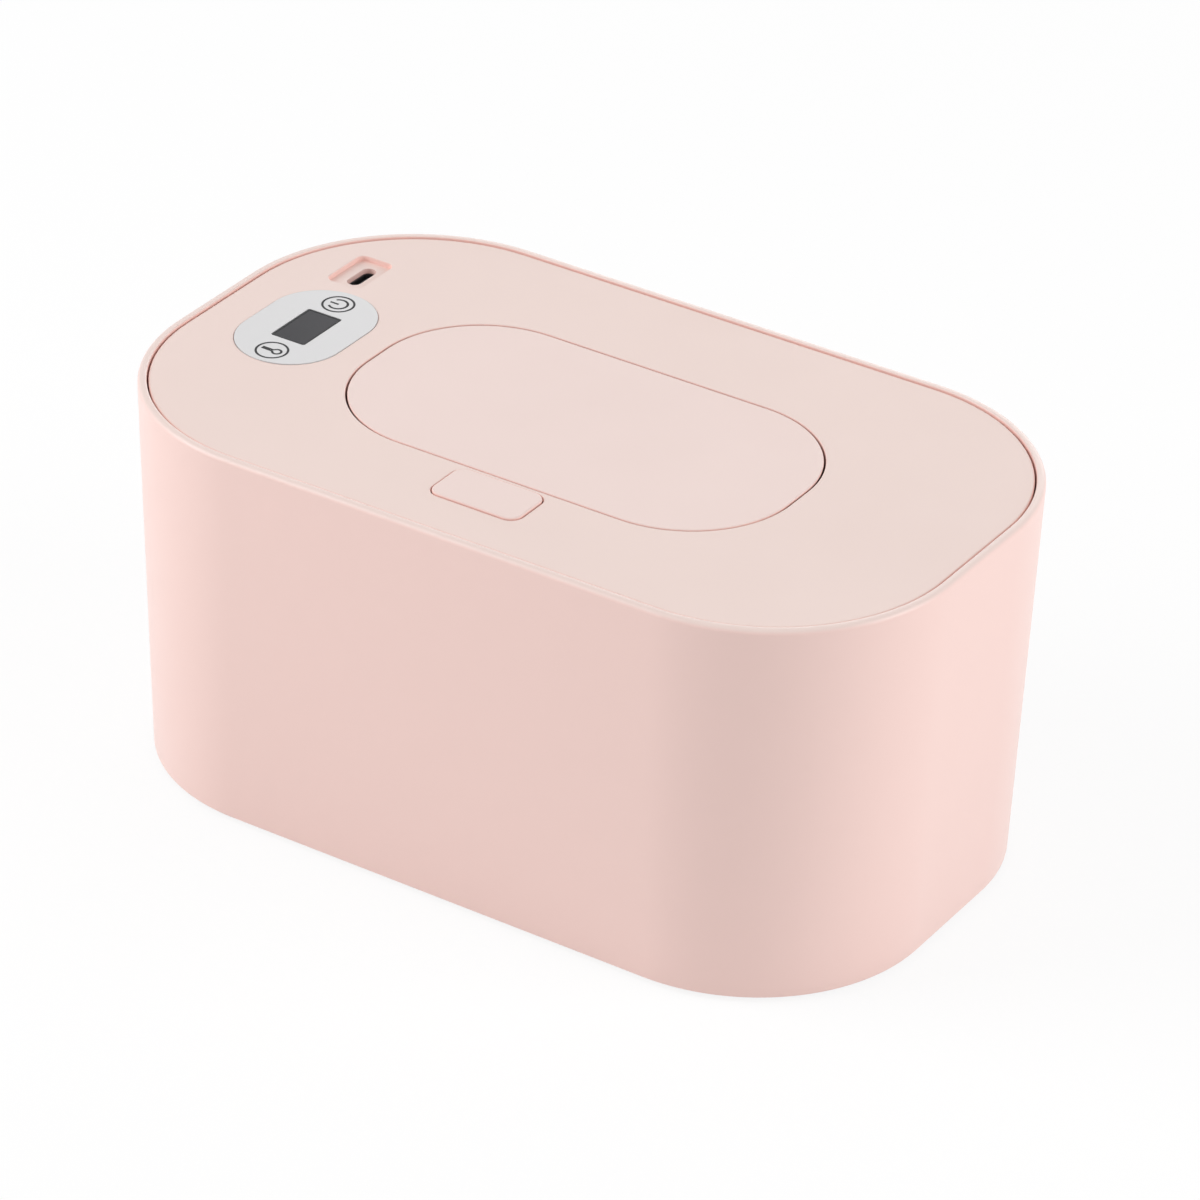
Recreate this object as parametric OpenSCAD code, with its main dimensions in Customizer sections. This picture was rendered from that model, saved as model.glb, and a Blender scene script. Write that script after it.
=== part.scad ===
// Baby wipe warmer: a drafted case with a wipes tub, and a lift-off cover that holds
// the heater, the controls, the flip lid and its push latch. Millimetres, +Z up,
// the length along X and the front at -Y. The feet stand at z = 0.

/* [Case] */
// Length of the case across its rim
body_l = 205; // [197:1:225]
// Width of the case across its rim
body_w = 122.8; // [119:0.5:134]
// Radius of the case's upright corners at the rim
corner_r = 46.9; // [45:0.1:48.5]
// Height of the wall
wall_h = 95.5; // [90:0.5:115]
// Thickness of the wall
wall_t = 2.1; // [1.8:0.1:2.5]
// How far the wall leans in at the bottom, on each side
wall_inset = 2.8; // [1.5:0.1:4]
// Radius of the rim's outer edge
rim_round = 1.2; // [0.6:0.1:1.5]
// Height that the feet hold the wall off the table
foot_proud = 1.2; // [0.8:0.1:3]
// Width of the ledge inside the wall that carries the tub
ledge_w = 3; // [2.6:0.1:3.6]
// Height of the ledge's straight edge
ledge_h = 1.6; // [1:0.1:3]

/* [Base] */
// Thickness of the base plate
base_t = 2; // [1.6:0.1:3]
// Width of the lip above the base plate
base_lip_w = 1.8; // [1.4:0.1:2.2]
// Radius of a foot
foot_r = 8; // [6:0.5:9]
// Depth that a foot is let into the base plate
foot_sink = 0.8; // [0.4:0.1:1]
// Distance of the feet from the case's ends
foot_end = 40.5; // [38:0.5:50]
// Distance of the feet from the case's long sides
foot_side = 31.4; // [29:0.2:35]
// Distance of the base screws from the case's ends
base_screw_end = 59.5; // [57:0.5:66]
// Distance of the base screws from the case's long sides
base_screw_side = 19.4; // [18.4:0.2:23]

/* [Tub] */
// Thickness of the tub's wall and floor
tub_t = 1.8; // [1.4:0.1:2.2]
// Gap between the tub's wall and the ledge
tub_play = 0.4; // [0.3:0.05:0.8]
// How far the tub leans in at its floor, on each side
tub_inset = 1.6; // [1:0.1:2.4]
// Radius inside the tub between its wall and its floor
tub_round = 4; // [2:0.5:6]
// Space between the base plate and the tub's floor
under_tub = 6; // [4:0.5:12]
// Thickness of the tub's flange
flange_t = 1.6; // [1.2:0.1:2.2]
// Thickness of the foam sleeve around the tub
foam_t = 1.6; // [1:0.1:2]

/* [Cover] */
// Gap between the rim and the cover
cover_gap = 0.4; // [0.35:0.05:0.8]
// How far the cover lies below the rim
cover_drop = 0.4; // [0:0.1:1.5]
// Thickness of the cover's top
cover_t = 2; // [1.8:0.1:2.3]
// Depth of the cover from its top to its underside
cover_depth = 18; // [17.6:0.1:22]
// Thickness of the cover's skirt
skirt_t = 1.8; // [1.4:0.1:2.2]
// Radius of the cover's top edge
cover_edge = 0.5; // [0.3:0.1:0.8]
// Radius of the top edges of the openings in the cover
hole_edge = 0.25; // [0.1:0.05:0.35]
// Thickness of the white liner under the cover
liner_t = 2.6; // [2.4:0.1:3.2]
// Thickness of the seal under the liner's edge
seal_t = 1.6; // [1.2:0.1:2.4]
// Width of the seal
seal_w = 3; // [2.4:0.1:3.6]
// Thickness of the ribs under the cover's top
rib_t = 1.2; // [1:0.1:1.6]
// Height of those ribs
rib_h = 6; // [3:0.5:8]
// Distance of the cross ribs from the cover's middle
rib_x = 34; // [30:0.5:38]

/* [Flip lid] */
// Distance of the lid's ends from the case's ends
lid_end = 46.7; // [44.6:0.1:48]
// Width of the flip lid
lid_w = 60.6; // [59:0.1:62]
// Corner radius of the flip lid
lid_r = 26.4; // [25:0.1:29]
// Place of the lid's middle along Y
lid_y = -1.35; // [-1.6:0.05:-1.1]
// Gap around the lid
lid_gap = 0.5; // [0.45:0.05:0.6]
// Thickness of the lid's plate
lid_t = 1.8; // [1.6:0.1:1.9]
// Radius of the lid's top edge
lid_edge = 0.35; // [0.2:0.05:0.4]
// Thickness of the lid's white lining
lining_t = 1.6; // [1.2:0.1:2]
// Height of the lid's gasket
gasket_h = 1.4; // [1:0.1:2]
// Width of the lid's gasket
gasket_w = 2.8; // [2.2:0.1:3.4]

/* [Hinge] */
// Distance of the hinge axis behind the lid's rear edge
hinge_behind = 5.5; // [5.3:0.1:6]
// Depth of the hinge axis below the cover's top
hinge_depth = 4.2; // [4.1:0.05:4.4]
// Radius of the hinge pins
pin_r = 0.8; // [0.7:0.05:0.9]
// Play between a pin and the lid's arm
pin_play = 0.05; // [0.02:0.01:0.09]
// Radius of the arm's eye around the pin
eye_r = 1.8; // [1.6:0.05:1.8]
// Distance of each arm from the lid's middle
arm_x = 20; // [16:0.5:24]
// Width of an arm
arm_w = 4; // [3:0.1:5]
// Thickness of an arm's curved neck
arm_t = 1.6; // [1.4:0.1:1.9]
// Space beside an arm for its spring
spring_room = 4.4; // [4.2:0.1:5]

/* [Lid well and outlet] */
// Depth of the well under the lid
well_depth = 12; // [11.8:0.1:12.3]
// Thickness of the well's floor
well_floor_t = 1.6; // [1.3:0.1:1.8]
// Thickness of the well's walls
well_wall_t = 1.6; // [1.4:0.1:2]
// Distance of the opening for the wipes from the lid's ends
outlet_end = 15.8; // [14.5:0.1:20]
// Width of that opening
outlet_w = 30; // [26:0.5:31]
// Place of the opening along Y
outlet_y = -5.5; // [-6:0.1:-5]
// Thickness of the collar around the opening
collar_t = 1.6; // [1.4:0.1:2]

/* [Push latch] */
// Length of the button
button_l = 23.1; // [22:0.1:25]
// Width of the button
button_w = 13.1; // [12.6:0.1:13.6]
// Corner radius of the button
button_r = 3; // [2:0.1:4]
// Width of the strip between the lid's gap and the button's gap
button_land = 1; // [0.8:0.1:1.5]
// Gap around the button
button_gap = 0.3; // [0.25:0.01:0.4]
// How far the button stands above the cover
button_proud = 0.4; // [0.2:0.1:0.8]
// Travel of the button when it is pressed
press = 1.5; // [1:0.1:1.8]

/* [Controls] */
// Distance of the control panel's middle from the case's end
panel_end = 25.9; // [25.1:0.1:26.5]
// Place of the control panel along Y
panel_y = -0.3; // [-1:0.1:1]
// Length of the control panel, along Y
panel_l = 38; // [36:0.5:42]
// Width of the control panel, along X
panel_w = 26; // [25:0.5:28]
// Thickness of the control panel's sheet
panel_t = 0.6; // [0.4:0.1:0.8]
// How far the sheet stands above the cover
panel_proud = 0.15; // [0:0.05:0.3]
// Length of the display window, along Y
window_l = 15; // [13:0.2:17]
// Width of the display window, along X
window_w = 9.1; // [8:0.1:11]
// Distance of each touch key from the panel's middle
key_pitch = 13.4; // [12.5:0.1:14]
// Radius of a touch key's ring
key_r = 3.9; // [3:0.1:4.2]

/* [Power inlet] */
// Distance of the inlet from the case's end
inlet_end = 20.5; // [19.9:0.1:21.1]
// Place of the inlet along Y
inlet_y = 29.6; // [28.8:0.1:30]
// Length of the recess around the inlet, along Y
recess_l = 14.8; // [13:0.2:16]
// Width of the recess, along X
recess_w = 9.5; // [8:0.1:10]
// Depth of the recess
recess_depth = 1.4; // [1:0.1:1.6]
// Length of the inlet's metal shell
inlet_l = 8.94; // [8.6:0.02:9.2]
// Width of the inlet's metal shell
inlet_w = 3.26; // [3:0.02:3.4]

/* [Electronics] */
// Length of the control board, along Y
board_l = 64; // [60:1:66]
// Width of the control board, along X
board_w = 29; // [27:0.5:29.5]
// Thickness of the control board
board_t = 1.6; // [1:0.1:2]
// Depth of the board's face below the cover's top
board_depth = 8; // [7.6:0.1:9]
// Distance of the heater plate from the case's ends
heater_end = 29.5; // [27.5:0.5:33]
// Width of the heater plate
heater_w = 70; // [64:1:74]
// Thickness of the heater plate
heater_t = 1; // [0.8:0.1:1.2]
// Thickness of the heating film
film_t = 0.35; // [0.2:0.05:0.5]

/* [Hidden] */
$fn = 64;

pink = [0.93, 0.80, 0.78];
cover_pink = [0.92, 0.85, 0.82];
white = [0.95, 0.95, 0.94];
steel = [0.72, 0.73, 0.75];
dark = [0.16, 0.16, 0.17];

// How far a cut runs past a face, and how far a joined piece reaches into its neighbour
cut = 1;
weld = 0.2;
// The play between two faces that rest on each other
touch_gap = 0.1;

// Heights
wall_z = foot_proud;
rim_z = wall_z + wall_h;
cover_z = rim_z - cover_drop;
cover_bottom = cover_z - cover_depth;
liner_top = cover_bottom + liner_t;
seal_gap = 0.2;
flange_z = cover_bottom - seal_t - seal_gap;
ledge_z = flange_z - flange_t;
base_rest = 0.2;
base_z = wall_z + base_rest;
base_top = base_z + base_t;
tub_z = base_top + under_tub;
tub_floor = tub_z + tub_t;

// The case's corner centres, and the radii of its faces about them at height z
cx = body_l / 2 - corner_r;
cy = body_w / 2 - corner_r;
lean = wall_inset / wall_h;
function outer_r(z) = corner_r - lean * (rim_z - z);
function inner_r(z) = outer_r(z) - wall_t;
ledge_r = inner_r(ledge_z) - ledge_w;
tub_r = ledge_r - tub_play;
tub_floor_r = tub_r - tub_inset;
tub_lean = tub_inset / (ledge_z - tub_z);
tub_angle = atan(tub_lean);
function tub_outer_r(z) = tub_r - tub_lean * (ledge_z - z);
function tub_inner_r(z) = tub_outer_r(z) - tub_t;
foam_drop = 1;
foam_top = ledge_z - ledge_w - ledge_h - foam_drop;
foam_gap = 0.3;

// The cover's radii about the same corner centres
cover_r = corner_r - wall_t - cover_gap;
skirt_slack = 0.3;
under_cover = cover_z - cover_t;
function skirt_r(z) = cover_r - lean * (cover_z - z) - skirt_slack * (cover_z - z) / cover_depth;
function skirt_inner_r(z) = skirt_r(z) - skirt_t;
liner_gap = 0.15;
liner_r = skirt_inner_r(cover_bottom) - liner_gap;
end_rib_in = 2.5;
end_rib_y = cy - end_rib_in;

// The lid's corner centres, and the well below it
lid_l = body_l - 2 * lid_end;
lid_cx = lid_l / 2 - lid_r;
lid_cy = lid_w / 2 - lid_r;
lid_rear = lid_y + lid_w / 2;
lid_front = lid_y - lid_w / 2;
lid_straight = 0.5;
lid_bevel = 0.9;
well_r = lid_r + lid_gap;
well_front = lid_front - lid_gap;
well_z = cover_z - well_depth;
well_bottom = well_z - well_floor_t;

// The hinge
axis_y = lid_rear + hinge_behind;
axis_z = cover_z - hinge_depth;
hinge_gap = 0.4;
edge_y = hinge_behind - lid_gap;
throat_r = sqrt(pow(edge_y, 2) + pow(hinge_depth, 2)) + hinge_gap;
throat_floor = edge_y + hinge_gap;
neck_r = throat_r + arm_t;
pocket_x0 = arm_x - arm_w / 2 - hinge_gap;
pocket_x1 = arm_x + arm_w / 2 + spring_room;
pocket_gap = 0.6;
pocket_rear = axis_y + eye_r + pocket_gap;
pin_seat = 0.4;
pin_x0 = pocket_x0 - well_wall_t;
pin_x1 = pocket_x1 + well_wall_t - pin_seat;
hinge_spring_wire = 0.5;
hinge_spring_play = 0.15;
hinge_spring_r = pin_r + hinge_spring_wire / 2 + hinge_spring_play;

// The outlet
outlet_l = lid_l - 2 * outlet_end;
outlet_r = outlet_w / 2;
outlet_cx = outlet_l / 2 - outlet_r;
gasket_gap = 0.2;
lining_z = cover_z - lid_t - lining_t;
gasket_z = lining_z - gasket_h;
collar_z = gasket_z - gasket_gap;
gasket_r = outlet_r + collar_t / 2 - gasket_w / 2;
lining_edge = 1.4;
lining_r = gasket_r + gasket_w + lining_edge;

// The latch: the button's ramps drive the slider's at 45 degrees
button_cx = button_l / 2 - button_r;
button_cy = button_w / 2 - button_r;
button_y = well_front - button_land - button_gap - button_w / 2;
button_top = cover_z + button_proud;
button_rear = button_y + button_w / 2;
button_front = button_y - button_w / 2;
hole_rear = button_rear + button_gap;
flange_out = 0.8;
flange_h = 1;
button_flange_z = under_cover - touch_gap;
button_edge = 0.5;
flange_gap = 0.4;
latch_x = button_l / 2 + flange_out + flange_gap;
slider_gap = 0.3;
slider_z = well_z + slider_gap;
slider_x = latch_x - 2 * slider_gap;
slider_t = 1.6;
ramp_in = 3.4;
ramp_x = button_l / 2 - ramp_in;
ramp_w = 3;
ramp_gap = 0.1;
leg_w = 4;
leg_rear = button_y + leg_w / 2;
leg_gap = 0.2;
leg_tip = slider_z + press + leg_gap;
spring_len = 5;
slider_in = 0.6;
slider_front = button_front + slider_in;
latch_front = slider_front - spring_len;
hook_t = 1.2;
hook_gap = 0.4;
hook_top = button_flange_z - flange_h - press - hook_gap;
hook_w = 8;
hook_short = 0.3;
hook_rear = hole_rear - leg_gap;
hook_front = hook_rear - hook_t;
catch_w = 6;
catch_t = 1.5;
catch_in = 1.05;
catch_reach = 0.8;
catch_gap = 0.25;
catch_tip = well_front + catch_in;
catch_top = hook_top - hook_t - catch_gap;
catch_h = 1.3;
latch_wire = 0.5;
latch_coil_r = 1.9;
bar_edge = 0.5;
bar_h = 2 * (latch_coil_r + bar_edge);

// The controls and the board
panel_x = panel_end - body_l / 2;
panel_r = panel_w / 2;
panel_cy = panel_l / 2 - panel_r;
panel_gap = 0.15;
panel_top = cover_z + panel_proud;
panel_seat = panel_top - panel_t;
window_gap = 0.15;
window_r = 0.5;
window_sink = 0.05;
window_shift = 0.1;
key_ring_in = 1.5;
key_spring_r = key_r - key_ring_in;
key_wire = 0.5;
board_shift_x = 1.1;
board_shift_y = 5.3;
board_x = panel_x + board_shift_x;
board_y = panel_y + board_shift_y;
board_z = cover_z - board_depth;
board_under = board_z - board_t;
board_r = 2;
board_screw_in = 3;
board_screw_bite = 4;
board_head_h = 1.2;
post_r = 2.6;
screw_r = 1.1;
screw_play = 0.2;
screw_head_r = 2;
head_play = 0.3;
slot_w = 0.6;
board_posts = [
  for (sx = [-1, 1], sy = [-1, 1])
    [board_x + sx * (board_w / 2 - board_screw_in), board_y + sy * (board_l / 2 - board_screw_in)]
];
display_gap = 0.3;
display_h = under_cover - board_z - display_gap;
inlet_x = inlet_end - body_l / 2;
recess_r = 2;
recess_shift = 0.25;
recess_x = inlet_x - recess_shift;
recess_y = inlet_y - recess_shift;
recess_z = cover_z - recess_depth;
recess_floor_t = 1.6;
recess_wall_t = 1.2;
// How far the inlet's mouth lies below the recess's floor
inlet_sink = 1.2;
inlet_top = recess_z - inlet_sink;
inlet_gap = 0.15;
inlet_wall = 0.3;
mouth_depth = 4.4;
tongue_w = 0.7;
tongue_in = 1.4;
tongue_low = 0.5;

// Screws that hold the liner: two columns beside the lid and one at each end
liner_post_r = 3;
side_post_out = 4;
side_post_in = 7.6;
end_post_in = 0.5;
liner_posts = concat(
  [
    for (sx = [-1, 1], sy = [-1, 1])
      [sx * (lid_l / 2 + side_post_out), sy * (cy + liner_r - liner_post_r - side_post_in)]
  ],
  [for (sx = [-1, 1]) [sx * (cx + liner_r - liner_post_r - end_post_in), 0]]
);
liner_head_h = 1.3;
liner_head_z = cover_bottom + liner_head_h + touch_gap;
liner_screw_l = 8;

// The heater, let into the liner's underside around the outlet
heater_r = heater_w / 2;
heater_cx = body_l / 2 - heater_end - heater_r;
heater_shift = 1.5;
heater_y = outlet_y + heater_shift;
heater_edge = 3.6;
heater_hole = outlet_r + heater_edge;
heater_gap = 0.2;
film_z = cover_bottom + heater_t;
film_top = film_z + film_t;
film_in = 3;
pad_w = 5.4;
pad_gap = 0.2;
pad_top = well_bottom - pad_gap;

// The bay in the liner, over the heater's end, for the sensor, the fuse and their leads
bay_shift = 10.6;
bay_x = panel_x + bay_shift;
bay_w = 9;
bay_l = 22;
bead_r = 1.1;
bead_pad_l = 4;
bead_pad_w = 2.8;
bead_pad_t = 0.5;
fuse_r = 1.2;
fuse_l = 8;
fuse_out = 5;
fuse_y = heater_y + fuse_out;
sensor_out = 7;
sensor_y = heater_y - sensor_out;
lead_r = 0.6;
lead_pitch = 1.6;
lead_out = 1.5;
lead_y = heater_y - lead_out;
sensor_lead_r = 0.4;
sensor_lead_pitch = 1.2;
sensor_lead_out = 2.4;
sensor_lead_y = sensor_y - sensor_lead_out;
plug_l = 5.2;
plug_w = 3.6;
plug_h = 2.2;
lead_top = board_under - plug_h;

// The parts under the board, and their places from its middle
chip_l = 7;
chip_h = 1.2;
chip_out = 4.5;
memory_l = 5;
memory_w = 4;
memory_h = 1;
memory_x = -8.5;
memory_y = -18;
relay_l = 4;
relay_w = 5;
relay_h = 1.6;
relay_x = 4;
relay_y = 16.5;

// A rectangle with round corners: x and y are the corner centres, r the radius
module rounded(x, y, r) {
  if (y > 0) square([2 * (x + r), 2 * y], center = true);
  square([2 * x, 2 * (y + r)], center = true);
  for (sx = [-1, 1], sy = y > 0 ? [-1, 1] : [0])
    translate([sx * x, sy * y]) circle(r = r);
}

// An upright plate with that outline between two heights
module slab(x, y, r, z0, z1) {
  translate([0, 0, z0]) linear_extrude(z1 - z0) rounded(x, y, r);
}

// A profile, drawn as radius and height, carried round the same outline
module sweep(x, y) {
  for (i = [0:3]) {
    sx = i == 0 || i == 3 ? 1 : -1;
    sy = i < 2 ? 1 : -1;
    translate([sx * x, sy * y, 0]) rotate([0, 0, 90 * i]) rotate_extrude(angle = 90) children();
  }
  for (s = [0, 1]) {
    if (y > 0)
      rotate([0, 0, 180 * s]) translate([x, y, 0]) rotate([90, 0, 0]) linear_extrude(2 * y) children();
    rotate([0, 0, 90 + 180 * s]) translate([y, x, 0]) rotate([90, 0, 0]) linear_extrude(2 * x) children();
  }
}

// The waste outside a rounded corner of a profile; sx and sy point out of the corner
module corner_waste(x, y, r, sx, sy) {
  translate([x - sx * r, y - sy * r]) difference() {
    scale([sx, sy]) square(r + cut);
    circle(r = r);
  }
}

// A box from its low corner to its high corner
module block(low, high) {
  translate(low) cube(high - low);
}

// A profile in Y and Z, extruded along X between x0 and x1
module along_x(x0, x1) {
  translate([x0, 0, 0]) rotate([90, 0, 90]) linear_extrude(x1 - x0) children();
}

// A round bar along X
module bar_x(x0, x1, y, z, r) {
  translate([x0, y, z]) rotate([0, 90, 0]) cylinder(r = r, h = x1 - x0);
}

// A helical spring on the Z axis from z = 0, with round wire
module coil(coil_r, wire, turns, length) {
  steps = 12;
  sides = 6;
  rings = turns * steps;
  pitch = (length - wire) / turns;
  points = [
    for (i = [0:rings], k = [0:sides - 1])
      let (
        a = 360 * i / steps,
        b = 360 * k / sides,
        r = coil_r + wire / 2 * cos(b)
      )
      [r * cos(a), r * sin(a), wire / 2 + pitch * i / steps + wire / 2 * sin(b)]
  ];
  sides_faces = [
    for (i = [0:rings - 1], k = [0:sides - 1])
      let (n = (k + 1) % sides)
      each [
        [i * sides + k, (i + 1) * sides + k, (i + 1) * sides + n],
        [i * sides + k, (i + 1) * sides + n, i * sides + n]
      ]
  ];
  ends = [
    [for (k = [0:sides - 1]) k],
    [for (k = [0:sides - 1]) rings * sides + sides - 1 - k]
  ];
  polyhedron(points, concat(sides_faces, ends), convexity = 8);
}

// A cross-head screw: the head's underside is at z = 0 and the shank points up
module screw(r, head_r, head_h, length) {
  cylinder(r = r, h = length);
  translate([0, 0, -head_h]) difference() {
    cylinder(r = head_r, h = head_h);
    for (a = [0, 90]) rotate([0, 0, a])
      block([-head_r + slot_w, -slot_w / 2, -cut], [head_r - slot_w, slot_w / 2, head_h / 2]);
  }
}

module at_each(points, z) {
  for (p = points) translate([p[0], p[1], z]) children();
}

foot_places = [
  for (sx = [-1, 1], sy = [-1, 1]) [sx * (body_l / 2 - foot_end), sy * (body_w / 2 - foot_side)]
];
base_screw_places = [
  for (sx = [-1, 1], sy = [-1, 1])
    [sx * (body_l / 2 - base_screw_end), sy * (body_w / 2 - base_screw_side)]
];
base_boss_r = 3.4;
base_screw_r = 1.4;
base_head_r = 2.8;
base_head_h = 1.2;
base_gap = 0.3;
base_lip_gap = 0.2;

// Case

module outer_shell() {
  lip_z = base_top + base_lip_gap;
  color(pink) sweep(cx, cy) difference() {
    polygon([
      [outer_r(wall_z), wall_z],
      [outer_r(rim_z), rim_z],
      [inner_r(rim_z), rim_z],
      [inner_r(ledge_z), ledge_z],
      [ledge_r, ledge_z],
      [ledge_r, ledge_z - ledge_h],
      [inner_r(ledge_z - ledge_h - ledge_w), ledge_z - ledge_h - ledge_w],
      [inner_r(lip_z + ledge_h), lip_z + ledge_h],
      [inner_r(lip_z) - base_lip_w, lip_z + ledge_h - base_lip_w / 2],
      [inner_r(lip_z) - base_lip_w, lip_z],
      [inner_r(lip_z), lip_z],
      [inner_r(wall_z), wall_z]
    ]);
    corner_waste(outer_r(rim_z), rim_z, rim_round, 1, 1);
    corner_waste(inner_r(rim_z), rim_z, rim_round / 3, -1, 1);
  }
}

// The tub's wall in section: the round at its foot is tangent to the floor and the leaning wall
module tub_profile() {
  flange_r = inner_r(flange_z) - tub_play;
  round_z = tub_floor + tub_round;
  round_x = tub_inner_r(round_z) - tub_round / cos(tub_angle);
  difference() {
    polygon([
      [round_x - cut, tub_z],
      [tub_outer_r(tub_z) - tub_round / 2, tub_z],
      [tub_outer_r(tub_z + tub_round / 2), tub_z + tub_round / 2],
      [tub_outer_r(ledge_z), ledge_z],
      [flange_r, ledge_z],
      [flange_r, flange_z],
      [tub_inner_r(flange_z), flange_z],
      [round_x + tub_round * cos(tub_angle), round_z - tub_round * sin(tub_angle)],
      [round_x, round_z],
      [round_x, tub_floor],
      [round_x - cut, tub_floor]
    ]);
    translate([round_x, round_z]) circle(r = tub_round);
  }
}

module inner_tub() {
  color(white) difference() {
    union() {
      sweep(cx, cy) tub_profile();
      slab(cx, cy, tub_floor_r - tub_t - tub_round, tub_z, tub_floor);
      at_each(base_screw_places, base_top) cylinder(r = base_boss_r, h = under_tub + weld);
    }
    at_each(base_screw_places, base_top - cut) cylinder(r = base_screw_r, h = under_tub + cut);
  }
}

module tub_foam() {
  color([0.86, 0.87, 0.88]) sweep(cx, cy) polygon([
    [tub_outer_r(tub_z) + foam_gap, tub_z],
    [tub_outer_r(foam_top) + foam_gap, foam_top],
    [tub_outer_r(foam_top) + foam_gap + foam_t, foam_top],
    [tub_outer_r(tub_z) + foam_gap + foam_t, tub_z]
  ]);
}

module base_plate() {
  color(pink) difference() {
    slab(cx, cy, inner_r(wall_z) - base_gap, base_z, base_top);
    at_each(foot_places, base_z - cut) cylinder(r = foot_r + base_gap, h = foot_sink + cut);
    at_each(base_screw_places, base_z - cut) {
      cylinder(r = base_screw_r, h = base_t + 2 * cut);
      cylinder(r = base_head_r + base_gap, h = base_head_h + cut);
    }
  }
}

module rubber_feet() {
  color(dark) at_each(foot_places, 0) rotate_extrude() difference() {
    square([foot_r, base_z + foot_sink]);
    corner_waste(foot_r, 0, foot_proud / 2, 1, -1);
  }
}

module base_screws() {
  color(steel) at_each(base_screw_places, base_z + base_head_h)
    screw(base_screw_r, base_head_r, base_head_h, base_t - base_head_h + under_tub - cut);
}

// Cover

// The well's outline, with a pocket behind each hinge arm
module well_outline(wall) {
  translate([0, lid_y]) rounded(lid_cx, lid_cy, well_r + wall);
  for (s = [-1, 1]) scale([s, 1]) translate([pocket_x0 - wall, axis_y - hinge_behind - wall])
    square([pocket_x1 - pocket_x0 + 2 * wall, pocket_rear - axis_y + hinge_behind + 2 * wall]);
}

// The latch bay's outline, from the rear of the button's hole to its spring's seat
module latch_outline(wall) {
  translate([-latch_x - wall, latch_front - wall])
    square([2 * (latch_x + wall), hole_rear - latch_front + wall]);
}

module top_cover() {
  color(cover_pink) difference() {
    union() {
      sweep(cx, cy) difference() {
        polygon([
          [skirt_inner_r(cover_z) - cut, under_cover],
          [skirt_inner_r(cover_z) - cut, cover_z],
          [skirt_r(cover_z), cover_z],
          [skirt_r(cover_bottom), cover_bottom],
          [skirt_inner_r(cover_bottom), cover_bottom],
          [skirt_inner_r(under_cover), under_cover]
        ]);
        corner_waste(skirt_r(cover_z), cover_z, cover_edge, 1, 1);
      }
      slab(cx, cy, skirt_inner_r(cover_z) - cut / 2, under_cover, cover_z);
      under_top(well_bottom) well_outline(well_wall_t);
      under_top(well_bottom) latch_outline(well_wall_t);
      cover_ribs();
      at_each(liner_posts, liner_top) cylinder(r = liner_post_r, h = under_cover + weld - liner_top);
      at_each(board_posts, board_z) cylinder(r = post_r, h = under_cover + weld - board_z);
      translate([recess_x, recess_y, 0])
        recess_slab(recess_r + recess_wall_t, recess_z - recess_floor_t, under_cover + weld);
    }
    translate([0, lid_y, 0]) {
      slab(lid_cx, lid_cy, well_r, under_cover - cut, cover_z + cut);
      opening_edge(lid_cx, lid_cy, well_r);
    }
    translate([0, 0, well_z]) linear_extrude(under_cover - well_z) {
      well_outline(0);
      latch_outline(0);
    }
    translate([0, button_y, 0]) {
      slab(button_cx, button_cy, button_r + button_gap, under_cover - cut, cover_z + cut);
      opening_edge(button_cx, button_cy, button_r + button_gap);
    }
    block(
      [-hook_w / 2 - hook_gap, hole_rear - cut, hook_top - hook_t - hook_gap],
      [hook_w / 2 + hook_gap, well_front + cut, hook_top + hook_gap]
    );
    translate([0, outlet_y, 0]) slab(outlet_cx, 0, outlet_r, well_bottom - cut, well_z + cut);
    for (s = [-1, 1]) scale([s, 1, 1]) bar_x(pin_x0 - cut, pin_x1, axis_y, axis_z, pin_r);
    panel_cuts();
    inlet_cuts();
    at_each(board_posts, board_z - cut) cylinder(r = screw_r, h = under_cover - board_z + cut);
    at_each(liner_posts, liner_top - cut) cylinder(r = screw_r, h = liner_screw_l + cut);
  }
  color(cover_pink) translate([0, outlet_y, 0]) difference() {
    slab(outlet_cx, 0, outlet_r + collar_t, liner_top, collar_z);
    slab(outlet_cx, 0, outlet_r, liner_top - cut, collar_z + cut);
  }
}

// The waste above the rounded top edge of an opening in the cover
module opening_edge(x, y, r) {
  sweep(x, y) corner_waste(r, cover_z, hole_edge, -1, 1);
}

// A flat outline carried from a height up into the cover's top
module under_top(z) {
  translate([0, 0, z]) linear_extrude(under_cover + weld - z) children();
}

// Stiffening ribs between the lid's well and the skirt, in front, behind and at the free end
module cover_ribs() {
  low = under_cover - rib_h;
  reach = skirt_r(low) - skirt_t / 2;
  for (s = [-1, 1]) {
    block([s * rib_x - rib_t / 2, -cy - reach, low], [s * rib_x + rib_t / 2, cy + reach, under_cover + weld]);
    block(
      [lid_cx, s * end_rib_y - rib_t / 2, low],
      [cx + reach, s * end_rib_y + rib_t / 2, under_cover + weld]
    );
  }
}

module window_slab(gap, z0, z1) {
  translate([window_shift, 0, 0])
    slab(window_w / 2 - window_r, window_l / 2 - window_r, window_r + gap, z0, z1);
}

module recess_slab(r, z0, z1) {
  slab(recess_w / 2 - recess_r, recess_l / 2 - recess_r, r, z0, z1);
}

module inlet_slab(gap, z0, z1) {
  rotate([0, 0, 90]) slab((inlet_l - inlet_w) / 2, 0, inlet_w / 2 + gap, z0, z1);
}

module panel_cuts() {
  translate([panel_x, panel_y, 0]) {
    rotate([0, 0, 90]) slab(panel_cy, 0, panel_r + panel_gap, panel_seat, cover_z + cut);
    window_slab(window_gap, under_cover - cut, cover_z);
  }
}

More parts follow.
